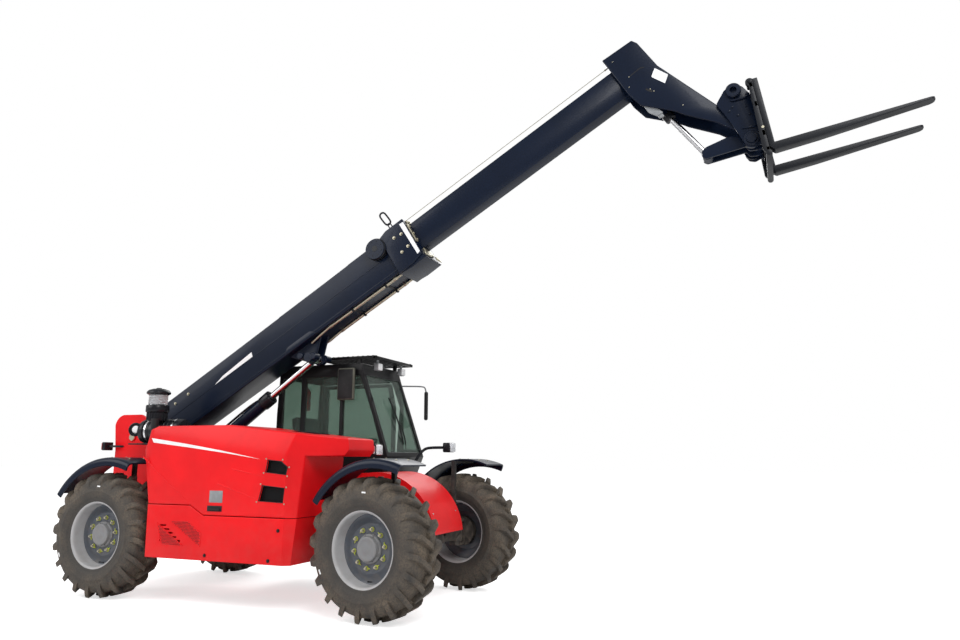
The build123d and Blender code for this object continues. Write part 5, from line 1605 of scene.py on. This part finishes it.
@dataclass
class Pod:
    """The engine pod on the right: bonnet, lower panel, vents, grilles and trim."""

    frame: dict
    face: float = -1.100
    vents: tuple = (
        ((1.975, 1.312), (2.120, 1.298), (2.185, 1.250), (2.172, 1.185), (1.955, 1.205)),
        ((1.928, 1.090), (2.165, 1.070), (2.152, 0.945), (1.895, 0.955)),
    )
    grilles: tuple = (
        ((0.760, 0.735), (1.085, 0.540), (0.830, 0.545)),
        ((0.930, 0.748), (1.130, 0.755), (1.285, 0.655), (1.280, 0.540)),
    )

    def panels(self) -> None:
        """Rounds the bonnet's and the lower panel's outer edges."""

        def rim(middle: Vector) -> bool:
            """Whether an edge lies on the pod's outer form and not round a vent.

            Args:
                middle: The middle of an edge in the shared frame.

            Returns:
                True where the edge is to be rounded.
            """
            x = middle.x - REAR_AXLE_X
            by_vent = 1.87 < x < 2.20 and 0.93 < middle.z < 1.33 and middle.y < -1.02
            return not by_vent and (middle.y < -0.75 or middle.z > 1.38)

        bonnet = softened(self.frame, "bonnet", 0.016, rim, steps=4, least=0.12)
        bonnet.piece("bonnet_shell", "bonnet", Finish.RED, ["bonnet"])
        panel = softened(
            self.frame, "pod_panel", 0.006, lambda middle: middle.y < -1.09, steps=3, least=0.12,
        )
        panel.piece("lower_panel", "chassis", Finish.RED, ["pod_panel"])

    def openings(self) -> None:
        """Puts dark mesh with a dark sheet behind it as painted shade, a frame and screws in each vent."""
        mesh, trim, screws = Shape(REAR), Shape(REAR), Shape(REAR)
        for outline in self.vents:
            # The dark sheet behind the mesh is painted shade for the vent's depth; the bars in front are the
            # real mesh.
            mesh.plate(outline, self.face + 0.050, self.face + 0.054)
            for at, low, high in chords(outline, 0.010, 0):
                mesh.box((at - 0.001, self.face + 0.024, low), (at + 0.001, self.face + 0.026, high))
            for at, low, high in chords(outline, 0.010, 1):
                mesh.box((low, self.face + 0.022, at - 0.001), (high, self.face + 0.024, at + 0.001))
            loop = [(x, self.face + 0.001, z) for x, z in outline]
            trim.tube(loop, 0.0045, closed=True, curved=False)
            middle = Vector((
                sum(x for x, _ in outline) / len(outline), 0, sum(z for _, z in outline) / len(outline)
            ))
            for x, z in outline:
                out = (Vector((x, 0, z)) - middle).normalized() * 0.020
                screws.bolt((x + out.x, self.face, z + out.z), (0, -1, 0), 0.0055, 0.005)
        mesh.piece("vent_mesh_and_shade", "bonnet", Finish.MESH)
        trim.piece("vent_trim", "bonnet", Finish.MATT)
        screws.piece("vent_screws", "bonnet", Finish.ZINC)

    def trim(self) -> None:
        """Adds the stripe, the pressed creases, the latch and its blank plate."""
        stripe = Shape(REAR)
        skin = self.face - 0.0008
        stripe.plate(
            (
                (0.612, 1.512), (0.640, 1.470), (1.10, 1.420), (1.50, 1.372), (1.891, 1.318), (1.45, 1.395),
                (1.05, 1.455),
            ),
            self.face, skin,
        )
        stripe.piece("pod_stripe", "bonnet", Finish.WHITE)
        creases = Shape(REAR)
        for start, end in (
            ((1.586, 1.232), (1.95, 1.165)), ((1.433, 1.100), (1.89, 0.965)),
            ((0.525, 1.335), (1.093, 0.936)),
        ):
            creases.rod(
                (start[0], self.face + 0.003, start[1]), (end[0], self.face + 0.003, end[1]), 0.008, 0.004,
                12,
            )
        creases.piece("bonnet_creases", "bonnet", Finish.RED)
        latch = Shape(REAR)
        latch.box((1.335, self.face - 0.003, 0.852), (1.500, self.face + 0.004, 0.902), 0.002)
        latch.rod((1.350, self.face - 0.010, 0.868), (1.484, self.face - 0.010, 0.868), 0.009, soft=0.002)
        latch.piece("bonnet_latch", "bonnet", Finish.MATT)
        plate = Shape(REAR)
        plate.box((1.352, self.face - 0.0015, 0.930), (1.500, self.face, 1.035), 0.0005)
        plate.piece("latch_plate", "bonnet", Finish.GREY)
        bolts = Shape(REAR)
        for x, z in ((0.600, 0.739), (0.600, 0.482), (1.340, 0.467), (2.030, 0.455), (2.120, 0.710)):
            bolts.bolt((x, self.face - 0.001, z), (0, -1, 0), 0.012, 0.010)
        bolts.piece("panel_bolts", "chassis", Finish.MATT)

    def perforated(self) -> None:
        """Lays the two perforated grilles over the louvres, their holes as dark discs of painted shade, and
        the patches on the bonnet's top.
        """
        sheet, hole_shade = Shape(REAR), Shape(REAR)
        for outline in self.grilles:
            sheet.plate(outline, self.face + 0.002, self.face - 0.0015)
            # Each hole is a dark disc on the sheet: painted shade where the holes are.
            rows = chords(outline, 0.0125, 1)
            for row, (z, low, high) in enumerate(rows):
                count = int((high - low - 0.016) / 0.0145)
                for place in range(count):
                    x = low + 0.012 + 0.0145 * (place + 0.5 * (row % 2))
                    hole_shade.rod((x, self.face - 0.0010, z), (x, self.face - 0.0022, z), 0.0048, sides=6)
            sheet.tube([(x, self.face - 0.001, z) for x, z in outline], 0.003, closed=True, curved=False)
        sheet.piece("grille_sheets", "chassis", Finish.RED)
        hole_shade.piece("grille_hole_shade", "chassis", Finish.MESH)
        top = Shape(upright(fwd(2.10), 1.5655, -0.62, -math.atan(0.110)))
        top.box((-0.13, -0.125, -0.002), (0.13, 0.125, 0.0015))
        for count in range(11):
            at = -0.115 + 0.023 * count
            top.box((at, -0.118, 0.001), (at + 0.009, 0.118, 0.006), 0.001)
        top.piece("top_grille", "bonnet", Finish.MESH)

    def build(self) -> None:
        """Builds the pod's pieces."""
        self.panels()
        self.openings()
        self.trim()
        self.perforated()


class AirCleaner:
    """The air cleaner's canister, pre-cleaner bowl, clamps and exhaust stub."""

    bowl_place = (0.178, -0.610, 0.0)

    def canister(self) -> None:
        """Builds the canister with its ribs, ends and clamps."""
        shape = Shape(REAR)
        ribs = []
        for count in range(6):
            at = 0.060 + 0.050 * count
            ribs += [(0.124, at), (0.128, at + 0.004), (0.128, at + 0.012), (0.124, at + 0.016)]
        shape.turned(
            (
                (0.0, -0.080), (0.050, -0.082), (0.056, -0.087), (0.098, -0.084), (0.118, -0.072),
                (0.126, -0.050),
                (0.126, -0.026), (0.134, -0.024), (0.134, 0.000), (0.124, 0.004), *ribs, (0.124, 0.400),
                (0.124, 0.440), (0.112, 0.464), (0.070, 0.473), (0.0, 0.473),
            ),
            (0.0, -0.500, 1.602), (1, 0, 0), 72,
        )
        shape.tube(
            ((0.47, -0.50, 1.60), (0.56, -0.50, 1.60), (0.62, -0.53, 1.55), (0.64, -0.56, 1.46)), 0.048,
        )
        shape.piece("air_canister", "chassis", Finish.GLOSS, ["air_cleaner"])
        clamps = Shape(REAR)
        for at in (0.032, 0.385):
            clamps.turned(
                ((0.124, -0.010), (0.1275, -0.010), (0.1275, 0.010), (0.124, 0.010)), (at, -0.500, 1.602),
                (1, 0, 0), 72, True,
            )
            clamps.rod((at - 0.012, -0.410, 1.696), (at + 0.012, -0.410, 1.696), 0.008, sides=14)
        clamps.piece("canister_clamps", "chassis", Finish.CHROME)
        bracket = Shape(REAR)
        bracket.box((-0.160, -0.640, 1.462), (0.200, -0.330, 1.476), 0.003)
        bracket.box((-0.030, -0.560, 1.470), (0.000, -0.440, 1.500), 0.003)
        bracket.box((0.150, -0.560, 1.470), (0.180, -0.440, 1.500), 0.003)
        bracket.piece("canister_bracket", "chassis", Finish.MATT)
        aim = Vector((0.35, -0.93, 0.05)).normalized()
        lamp = Shape(REAR)
        lamp.turned(
            (
                (0.0, -0.05), (0.045, -0.048), (0.068, -0.02), (0.072, 0.0), (0.072, 0.022), (0.064, 0.026),
                (0.060, 0.010), (0.0, 0.006),
            ),
            (-0.105, -0.600, 1.618), aim, 48,
        )
        lamp.piece("side_lamp", "chassis", Finish.GLOSS)
        lens = Shape(REAR)
        lens.turned(
            ((0.0, 0.022), (0.030, 0.019), (0.040, 0.010), (0.040, 0.006), (0.0, 0.006)),
            (-0.105, -0.600, 1.618), aim, 40,
        )
        lens.piece("side_lamp_lens", "chassis", Finish.WHITE)

    def bowl(self) -> None:
        """Builds the pre-cleaner over the canister: base, ribbed bowl and cap."""
        shape = Shape(REAR)
        shape.turned(
            (
                (0.0, 1.690), (0.062, 1.690), (0.066, 1.700), (0.098, 1.706), (0.100, 1.716),
                (0.100, 1.788), (0.114, 1.796), (0.117, 1.802), (0.117, 1.858), (0.112, 1.866),
                (0.086, 1.870), (0.0, 1.870),
            ),
            self.bowl_place, (0, 0, 1), 64,
        )
        shape.turned(
            (
                (0.0, 1.974), (0.094, 1.974), (0.108, 1.978), (0.119, 1.986), (0.122, 1.996),
                (0.118, 2.008), (0.100, 2.026), (0.060, 2.038), (0.030, 2.042), (0.026, 2.048),
                (0.0, 2.048),
            ),
            self.bowl_place, (0, 0, 1), 64,
        )
        for count in range(20):
            turn = math.radians(18.0 * count)
            x, y = self.bowl_place[0] + 0.101 * math.cos(turn), self.bowl_place[1] + 0.101 * math.sin(turn)
            shape.rod((x, y, 1.714), (x, y, 1.790), 0.005, sides=8)
        shape.rod((0.178, -0.560, 1.60), (0.178, -0.610, 1.70), 0.052)
        shape.piece("pre_cleaner", "chassis", Finish.GLOSS)
        clear = Shape(REAR)
        rings = []
        for count in range(6):
            at = 1.872 + 0.017 * count
            rings += [(0.092, at), (0.097, at + 0.0055), (0.097, at + 0.0115)]
        clear.turned([*rings, (0.092, 1.974)], self.bowl_place, (0, 0, 1), 64)
        clear.piece("pre_cleaner_bowl", "chassis", Finish.BOWL)
        core = Shape(REAR)
        core.rod((0.178, -0.610, 1.868), (0.178, -0.610, 1.976), 0.060)
        core.piece("pre_cleaner_core", "chassis", Finish.GREY)
        pipe = Shape(REAR)
        pipe.turned(
            (
                (0.030, 1.712), (0.036, 1.712), (0.036, 1.560), (0.044, 1.556), (0.044, 1.540),
                (0.030, 1.540),
            ),
            (0.420, -0.880, 0.0), (0, 0, 1), 40, True,
        )
        pipe.piece("exhaust_stub", "chassis", Finish.MATT)

    def build(self) -> None:
        """Builds the air cleaner's pieces."""
        self.canister()
        self.bowl()


@dataclass
class Cab:
    """The cab's cage, glass, roof guard, lamps, mirrors, seat and controls."""

    frame: dict

    @staticmethod
    def bowed(point: Vector) -> Vector:
        """Bows the windscreen and its pillars forward below the middle.

        Args:
            point: A point of the cage or the glass.

        Returns:
            The moved point.
        """
        share = min(1.0, max(0.0, (point.x - fwd(1.93)) / 0.16))
        height = min(1.0, max(0.0, (point.z - 1.33) / 0.95))
        bow = 0.052 * (1.0 - height) + 0.17 * height * (1.0 - height)
        low = min(1.0, max(0.0, (point.z - 1.10) / 0.24))
        return Vector((point.x + bow * share * low, point.y, point.z))

    def cage(self) -> None:
        """Rounds the cage and bows its front, and the glass with it."""
        cage = softened(self.frame, "cab_frame", 0.007, move=self.bowed, steps=3, least=0.10)
        cage.piece("cab_cage", "chassis", Finish.CAB, ["cab_frame"])
        glass = softened(self.frame, "cab_glass", 0.0, move=self.bowed)
        glass.piece("cab_panes", "chassis", Finish.GLASS, ["cab_glass"])
        guard = Shape(REAR)
        for low, high in (
            ((1.565, 0.240), (2.285, 0.268)), ((1.565, 1.117), (2.285, 1.145)),
            ((2.262, 0.24), (2.285, 1.145)), ((1.565, 0.24), (1.59, 1.145)),
        ):
            guard.box((*low, 2.374), (*high, 2.404), 0.004)
        guard.piece("guard_edges", "chassis", Finish.CAB)
        seals = Shape(REAR)
        for rows in (
            ((1.130, 1.390), (1.372, 1.390), (1.372, 2.200), (1.130, 2.200)),
            ((1.424, 1.390), (1.866, 1.390), (1.866, 2.200), (1.424, 2.200)),
        ):
            seals.tube([(x, 0.259, z) for x, z in rows], 0.006, closed=True, curved=False)
        seals.piece("pane_seals", "chassis", Finish.MATT)

    def fittings(self) -> None:
        """Adds the wiper, the work lamps, the extinguisher and the door handle."""
        wiper = Shape(REAR)
        foot, middle, tip = Vector((2.372, 0.80, 1.372)), Vector((2.335, 0.70, 1.700)), Vector(
            (2.225, 0.62, 1.985)
        )
        wiper.tube((foot, (2.400, 0.79, 1.45), (2.392, 0.74, 1.60), middle + Vector((0.035, 0, 0))), 0.007)
        wiper.tube(
            (
                middle + Vector((0.065, 0.02, -0.22)), middle + Vector((0.035, 0, 0)),
                tip + Vector((0.03, 0, 0)),
            ),
            0.008,
        )
        wiper.rod(foot - Vector((0.03, 0, 0)), foot + Vector((0.03, 0, 0)), 0.018)
        wiper.piece("wiper", "chassis", Finish.MATT)
        shells, lenses = Shape(REAR), Shape(REAR)
        for y in (0.45, 1.00):
            shells.box((2.180, y - 0.045, 2.262), (2.232, y + 0.045, 2.345), 0.010, 3)
            shells.box((2.195, y - 0.010, 2.340), (2.215, y + 0.010, 2.380))
            lenses.box((2.228, y - 0.040, 2.267), (2.246, y + 0.040, 2.340), 0.008, 3)
        shells.piece("work_lamps", "chassis", Finish.GREY)
        lenses.piece("work_lamp_lenses", "chassis", Finish.WHITE)
        bottle = Shape(REAR)
        bottle.turned(
            (
                (0.0, 0.0), (0.034, 0.002), (0.038, 0.010), (0.038, 0.205), (0.030, 0.228), (0.014, 0.238),
                (0.014, 0.252), (0.0, 0.252),
            ),
            (1.398, 0.330, 1.840), (0, 0, 1), 32,
        )
        bottle.piece("extinguisher", "chassis", Finish.RED)
        handle = Shape(REAR)
        handle.tube(
            ((2.02, 1.155, 1.10), (2.02, 1.185, 1.13), (2.02, 1.185, 1.24), (2.02, 1.155, 1.27)), 0.009,
        )
        handle.piece("door_handle", "door", Finish.MATT)

    def mirrors(self) -> None:
        """Builds both mirrors on their arms."""
        right = Shape(REAR)
        right.box((1.858, 0.190, 1.935), (2.062, 0.232, 2.278), 0.018, 4)
        right.rod((1.96, 0.225, 2.15), (1.96, 0.262, 2.15), 0.030, soft=0.004)
        right.piece("mirror_right", "chassis", Finish.OLIVE, ["mirrors"])
        pad = Shape(REAR)
        pad.box((1.872, 0.186, 1.950), (2.048, 0.192, 2.262), 0.0025)
        pad.piece("mirror_right_back", "chassis", Finish.MATT)
        place = REAR @ Matrix.Translation((2.440, 1.195, 1.925)) @ Matrix.Rotation(
            math.radians(25.3), 4, "Z",
        )
        left = Shape(place)
        left.box((-0.022, -0.080, -0.160), (0.022, 0.080, 0.160), 0.018, 4)
        left.piece("mirror_left", "chassis", Finish.MATT)
        arm = Shape(REAR)
        arm.tube(
            (
                (2.075, 1.135, 2.160), (2.25, 1.15, 2.155), (2.40, 1.17, 2.150), (2.436, 1.185, 2.135),
                (2.440, 1.195, 2.070),
            ),
            0.0085,
        )
        arm.piece("mirror_arm", "chassis", Finish.GREY)

    def seat(self) -> None:
        """Builds the driver's seat: its box, cushion and back."""
        base = Shape(REAR)
        base.box((1.210, 0.510, 0.800), (1.590, 0.870, 1.080), 0.012, 3)
        base.box((1.200, 0.490, 1.080), (1.640, 0.890, 1.127), 0.010, 3)
        base.piece("seat_base", "chassis", Finish.MATT, ["driver_seat"])
        lean = REAR @ Matrix.Translation((1.230, 0.690, 1.200)) @ Matrix.Rotation(
            -math.radians(9.0), 4, "Y",
        )
        for name, place, low, high in (
            ("seat_cushion", REAR, (1.185, 0.460, 1.127), (1.655, 0.920, 1.235)),
            ("seat_back", lean, (-0.05, -0.220, 0.0), (0.05, 0.220, 0.590)),
        ):
            pad = Shape(place)
            pad.box(low, high, 0.042, 6)
            pad.piece(name, "chassis", Finish.CLOTH, sharp=60.0)
        wheel = Shape(
            REAR @ Matrix.Translation((1.905, 0.690, 1.430)) @ Matrix.Rotation(-math.radians(27.0), 4, "Y")
        )
        ring = [
            (0.182 + 0.013 * math.cos(a), 0.013 * math.sin(a)) for a in [math.pi / 6 * k for k in range(12)]
        ]
        wheel.turned(ring, (0, 0, 0.03), (0, 0, 1), 64, True)
        for turn in (90, 210, 330):
            angle = math.radians(turn)
            wheel.rod(
                (0, 0, 0.005), (0.18 * math.cos(angle), 0.18 * math.sin(angle), 0.03), 0.009, sides=12,
            )
        wheel.rod((0, 0, -0.40), (0, 0, 0.012), 0.035, soft=0.004)
        wheel.piece("steering_wheel", "chassis", Finish.MATT, ["steering_column"])

    def build(self) -> None:
        """Builds the cab's pieces."""
        self.cage()
        self.fittings()
        self.mirrors()
        self.seat()


class Lamps:
    """The headlamps on their arms and the rear lamps."""

    half_height = 0.052

    def build(self) -> None:
        """Builds the lamps' shells, reflectors, lenses and arms."""
        shells, lenses, bowls, tails = Shape(REAR), Shape(REAR), Shape(REAR), Shape(REAR)
        for x, y, z, half in ((2.560, -0.286, 1.410, 0.062), (2.790, 0.956, 1.450, 0.072)):
            shells.box(
                (x, y - half, z - self.half_height), (x + 0.085, y + half, z + self.half_height), 0.014, 3,
            )
            bowls.box(
                (x + 0.082, y - half + 0.010, z - 0.042), (x + 0.090, y + half - 0.010, z + 0.042), 0.003,
            )
            lenses.box(
                (x + 0.086, y - half + 0.006, z - 0.047), (x + 0.100, y + half - 0.006, z + 0.047), 0.006,
                3,
            )
        bowls.plate(
            ((2.575, 1.372), (2.640, 1.372), (2.640, 1.448), (2.575, 1.448)), -0.350, -0.346, 0.001, 0.015,
        )
        shells.tube(
            (
                (2.46, 0.83, 1.245), (2.50, 0.855, 1.34), (2.56, 0.90, 1.435), (2.640, 0.935, 1.452),
                (2.795, 0.956, 1.450),
            ),
            0.016,
        )
        shells.tube(((2.50, -0.31, 1.25), (2.52, -0.30, 1.38), (2.57, -0.286, 1.405)), 0.014)
        for side in (1, -1):
            shells.box((-0.735, side * 0.330, 1.405), (-0.690, side * 0.450, 1.495), 0.008, 3)
            shells.tube(
                ((-0.70, side * 0.39, 1.45), (-0.60, side * 0.36, 1.45), (-0.54, side * 0.32, 1.45)), 0.012,
            )
            tails.box((-0.750, side * 0.338, 1.412), (-0.733, side * 0.442, 1.488), 0.004)
        shells.piece("lamp_shells", "chassis", Finish.GLOSS, ["lamps"])
        bowls.piece("lamp_reflectors", "chassis", Finish.CHROME)
        lenses.piece("lamp_lenses", "chassis", Finish.LENS)
        tails.piece("tail_lenses", "chassis", Finish.TAIL)


@dataclass
class Chassis:
    """The main frame's rounded plates and the lift cylinder's trim."""

    frame: dict
    lift_base: tuple[float, float] = (-0.120, 1.050)
    lift_eye: tuple[float, float] = (2.240, -0.390)
    barrel_length: float = 1.580

    def build(self) -> None:
        """Builds the frame and the cylinder trim."""
        shape = softened(self.frame, "main_frame", 0.005, steps=2, least=0.15)
        shape.piece("frame_plates", "chassis", Finish.RED, ["main_frame"])
        pins = Shape()
        for side in (1, -1):
            pins.turned(
                ((0.0, 0.014), (0.036, 0.014), (0.042, 0.008), (0.042, 0.0), (0.0, 0.0)),
                (fwd(BOOM_PIVOT[0]), side * 0.3305, BOOM_PIVOT[1]), (0, side, 0), 40,
            )
        pins.piece("pivot_caps", "chassis", Finish.ZINC)
        base = Vector((fwd(self.lift_base[0]), 0.0, self.lift_base[1]))
        run = (BOOM @ Vector((self.lift_eye[0], 0.0, self.lift_eye[1])) - base).normalized()
        up = Vector((0, 1, 0)).cross(run).normalized() * -1.0
        gland = Shape()
        gland.rod(
            base + run * (self.barrel_length - 0.125), base + run * (self.barrel_length + 0.005), 0.078,
            sides=44, soft=0.006,
        )
        gland.rod(
            base + run * (self.barrel_length + 0.005), base + run * (self.barrel_length + 0.017), 0.052,
            sides=36, soft=0.003,
        )
        gland.rod(base + run * 0.10, base + run * 0.16, 0.074, sides=44, soft=0.005)
        hose = [
            base + run * along + up * lift
            for along, lift in ((0.20, 0.060), (0.24, 0.090), (0.60, 0.092), (1.38, 0.092), (1.44, 0.062))
        ]
        gland.tube(hose, 0.013)
        gland.piece("lift_gland", "lift_barrel", Finish.GLOSS)
        chrome = Shape()
        for y in (-0.26, 0.26):
            chrome.rod((fwd(3.200), y, 0.66), (fwd(3.200), y, 0.84), 0.018, soft=0.003)
        chrome.piece("nose_pins", "chassis", Finish.CHROME)


class Palette:
    """Every finish, made once."""

    made: dict[Finish, bpy.types.Material] = {}

    @classmethod
    def build(cls) -> None:
        """Makes the materials."""
        finishes = {
            Finish.RED: Paint("red_paint", (0.76, 0.005, 0.009), 0.34, 0.04, 0.08),
            Finish.NAVY: Paint("navy_paint", (0.0035, 0.0080, 0.0215), 0.27, 0.06, 0.03),
            Finish.CHARCOAL: Paint("charcoal_paint", (0.012, 0.0135, 0.017), 0.36, 0.04, 0.06),
            Finish.AXLE: Paint("axle_paint", (0.022, 0.021, 0.022), 0.5, 0.1, 0.7),
            Finish.SILVER: Paint("rim_paint", (0.40, 0.40, 0.41), 0.34, 0.3, 0.3),
            # The disc and hub paints are darker copies of the rim's silver: painted shade on the disc and hub
            # deep in the dished rim.
            Finish.SHADED_DISC: Paint("disc_silver_painted_shade", (0.085, 0.100, 0.125), 0.40, 0.2, 0.35),
            Finish.SHADED_HUB: Paint("hub_silver_painted_shade", (0.20, 0.205, 0.215), 0.40, 0.2, 0.35),
            Finish.CAB: Paint("cab_paint", (0.007, 0.007, 0.008), 0.33, 0.06, 0.06),
            Finish.ENGINE: Paint("engine_paint", (0.045, 0.045, 0.05), 0.55, 0.1, 0.3),
            Finish.GLOSS: Moulding("gloss_black", (0.010, 0.011, 0.014), 0.26, 0.1),
            Finish.MATT: Moulding("matt_black", (0.013, 0.013, 0.014)),
            Finish.RUBBER: Moulding("rubber", (0.030, 0.028, 0.025), 0.8, 0.5),
            Finish.GLASS: Pane("cab_glass", (0.30, 0.39, 0.34)),
            Finish.CLOTH: Cloth("seat_cloth", (0.02, 0.02, 0.022)),
            Finish.CHROME: Metal("hard_chrome", (0.72, 0.72, 0.74)),
            Finish.ZINC: Metal("zinc_plate", (0.46, 0.43, 0.33), 0.34),
            Finish.WHITE: Moulding("white_film", (0.74, 0.75, 0.76), 0.40, 0.1),
            Finish.GREY: Moulding("pale_grey", (0.22, 0.23, 0.24), 0.45, 0.2),
            Finish.TAG: Moulding("yellow_tag", (0.45, 0.50, 0.06), 0.45, 0.1),
            # This near black colours real mesh and the painted shade of the vent backs and the grille holes.
            Finish.MESH: Moulding("dark_mesh_and_painted_shade", (0.006, 0.006, 0.007), 0.6, 0.6),
            Finish.LENS: Pane("clear_lens", (0.92, 0.93, 0.95), 0.75),
            Finish.TAIL: Pane("red_lens", (0.60, 0.02, 0.02), 0.5),
            Finish.OLIVE: Moulding("olive_grey", (0.085, 0.085, 0.068), 0.42, 0.2),
            Finish.BOWL: Pane("clear_bowl", (0.80, 0.82, 0.84), 0.6),
        }
        cls.made = {finish: recipe.make() for finish, recipe in finishes.items()}


def dress_nodes(frame: dict) -> None:
    """Gives every CAD node that still shows its finish.

    Args:
        frame: The loaded frame.
    """
    by_slot = {slot: finish for finish, slot in reversed(SLOTS.items())}
    slots = {part["node"]: part["material_slot"] for part in frame["record"]["subparts"]}
    for name, node in frame["nodes"].items():
        for slot in node.material_slots:
            slot.material = Palette.made[by_slot[slots[name]]]
        log.info("finished %s", name)


def main() -> None:
    """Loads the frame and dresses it."""
    logging.basicConfig(level=logging.INFO)
    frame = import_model()
    Camera().build()
    Studio().build()
    Palette.build()
    dress_nodes(frame)
    front = REAR_AXLE_X + WHEELBASE
    Wheel("front_left", front, Side.LEFT, -7.6).build()
    Wheel("front_right", front, Side.RIGHT, -7.6).build()
    Wheel("rear_left", REAR_AXLE_X, Side.LEFT).build()
    Wheel("rear_right", REAR_AXLE_X, Side.RIGHT).build()
    Boom(frame).build()
    Head(frame).build()
    Pod(frame).build()
    AirCleaner().build()
    Cab(frame).build()
    Lamps().build()
    Chassis(frame).build()


if __name__ == "__main__":
    main()
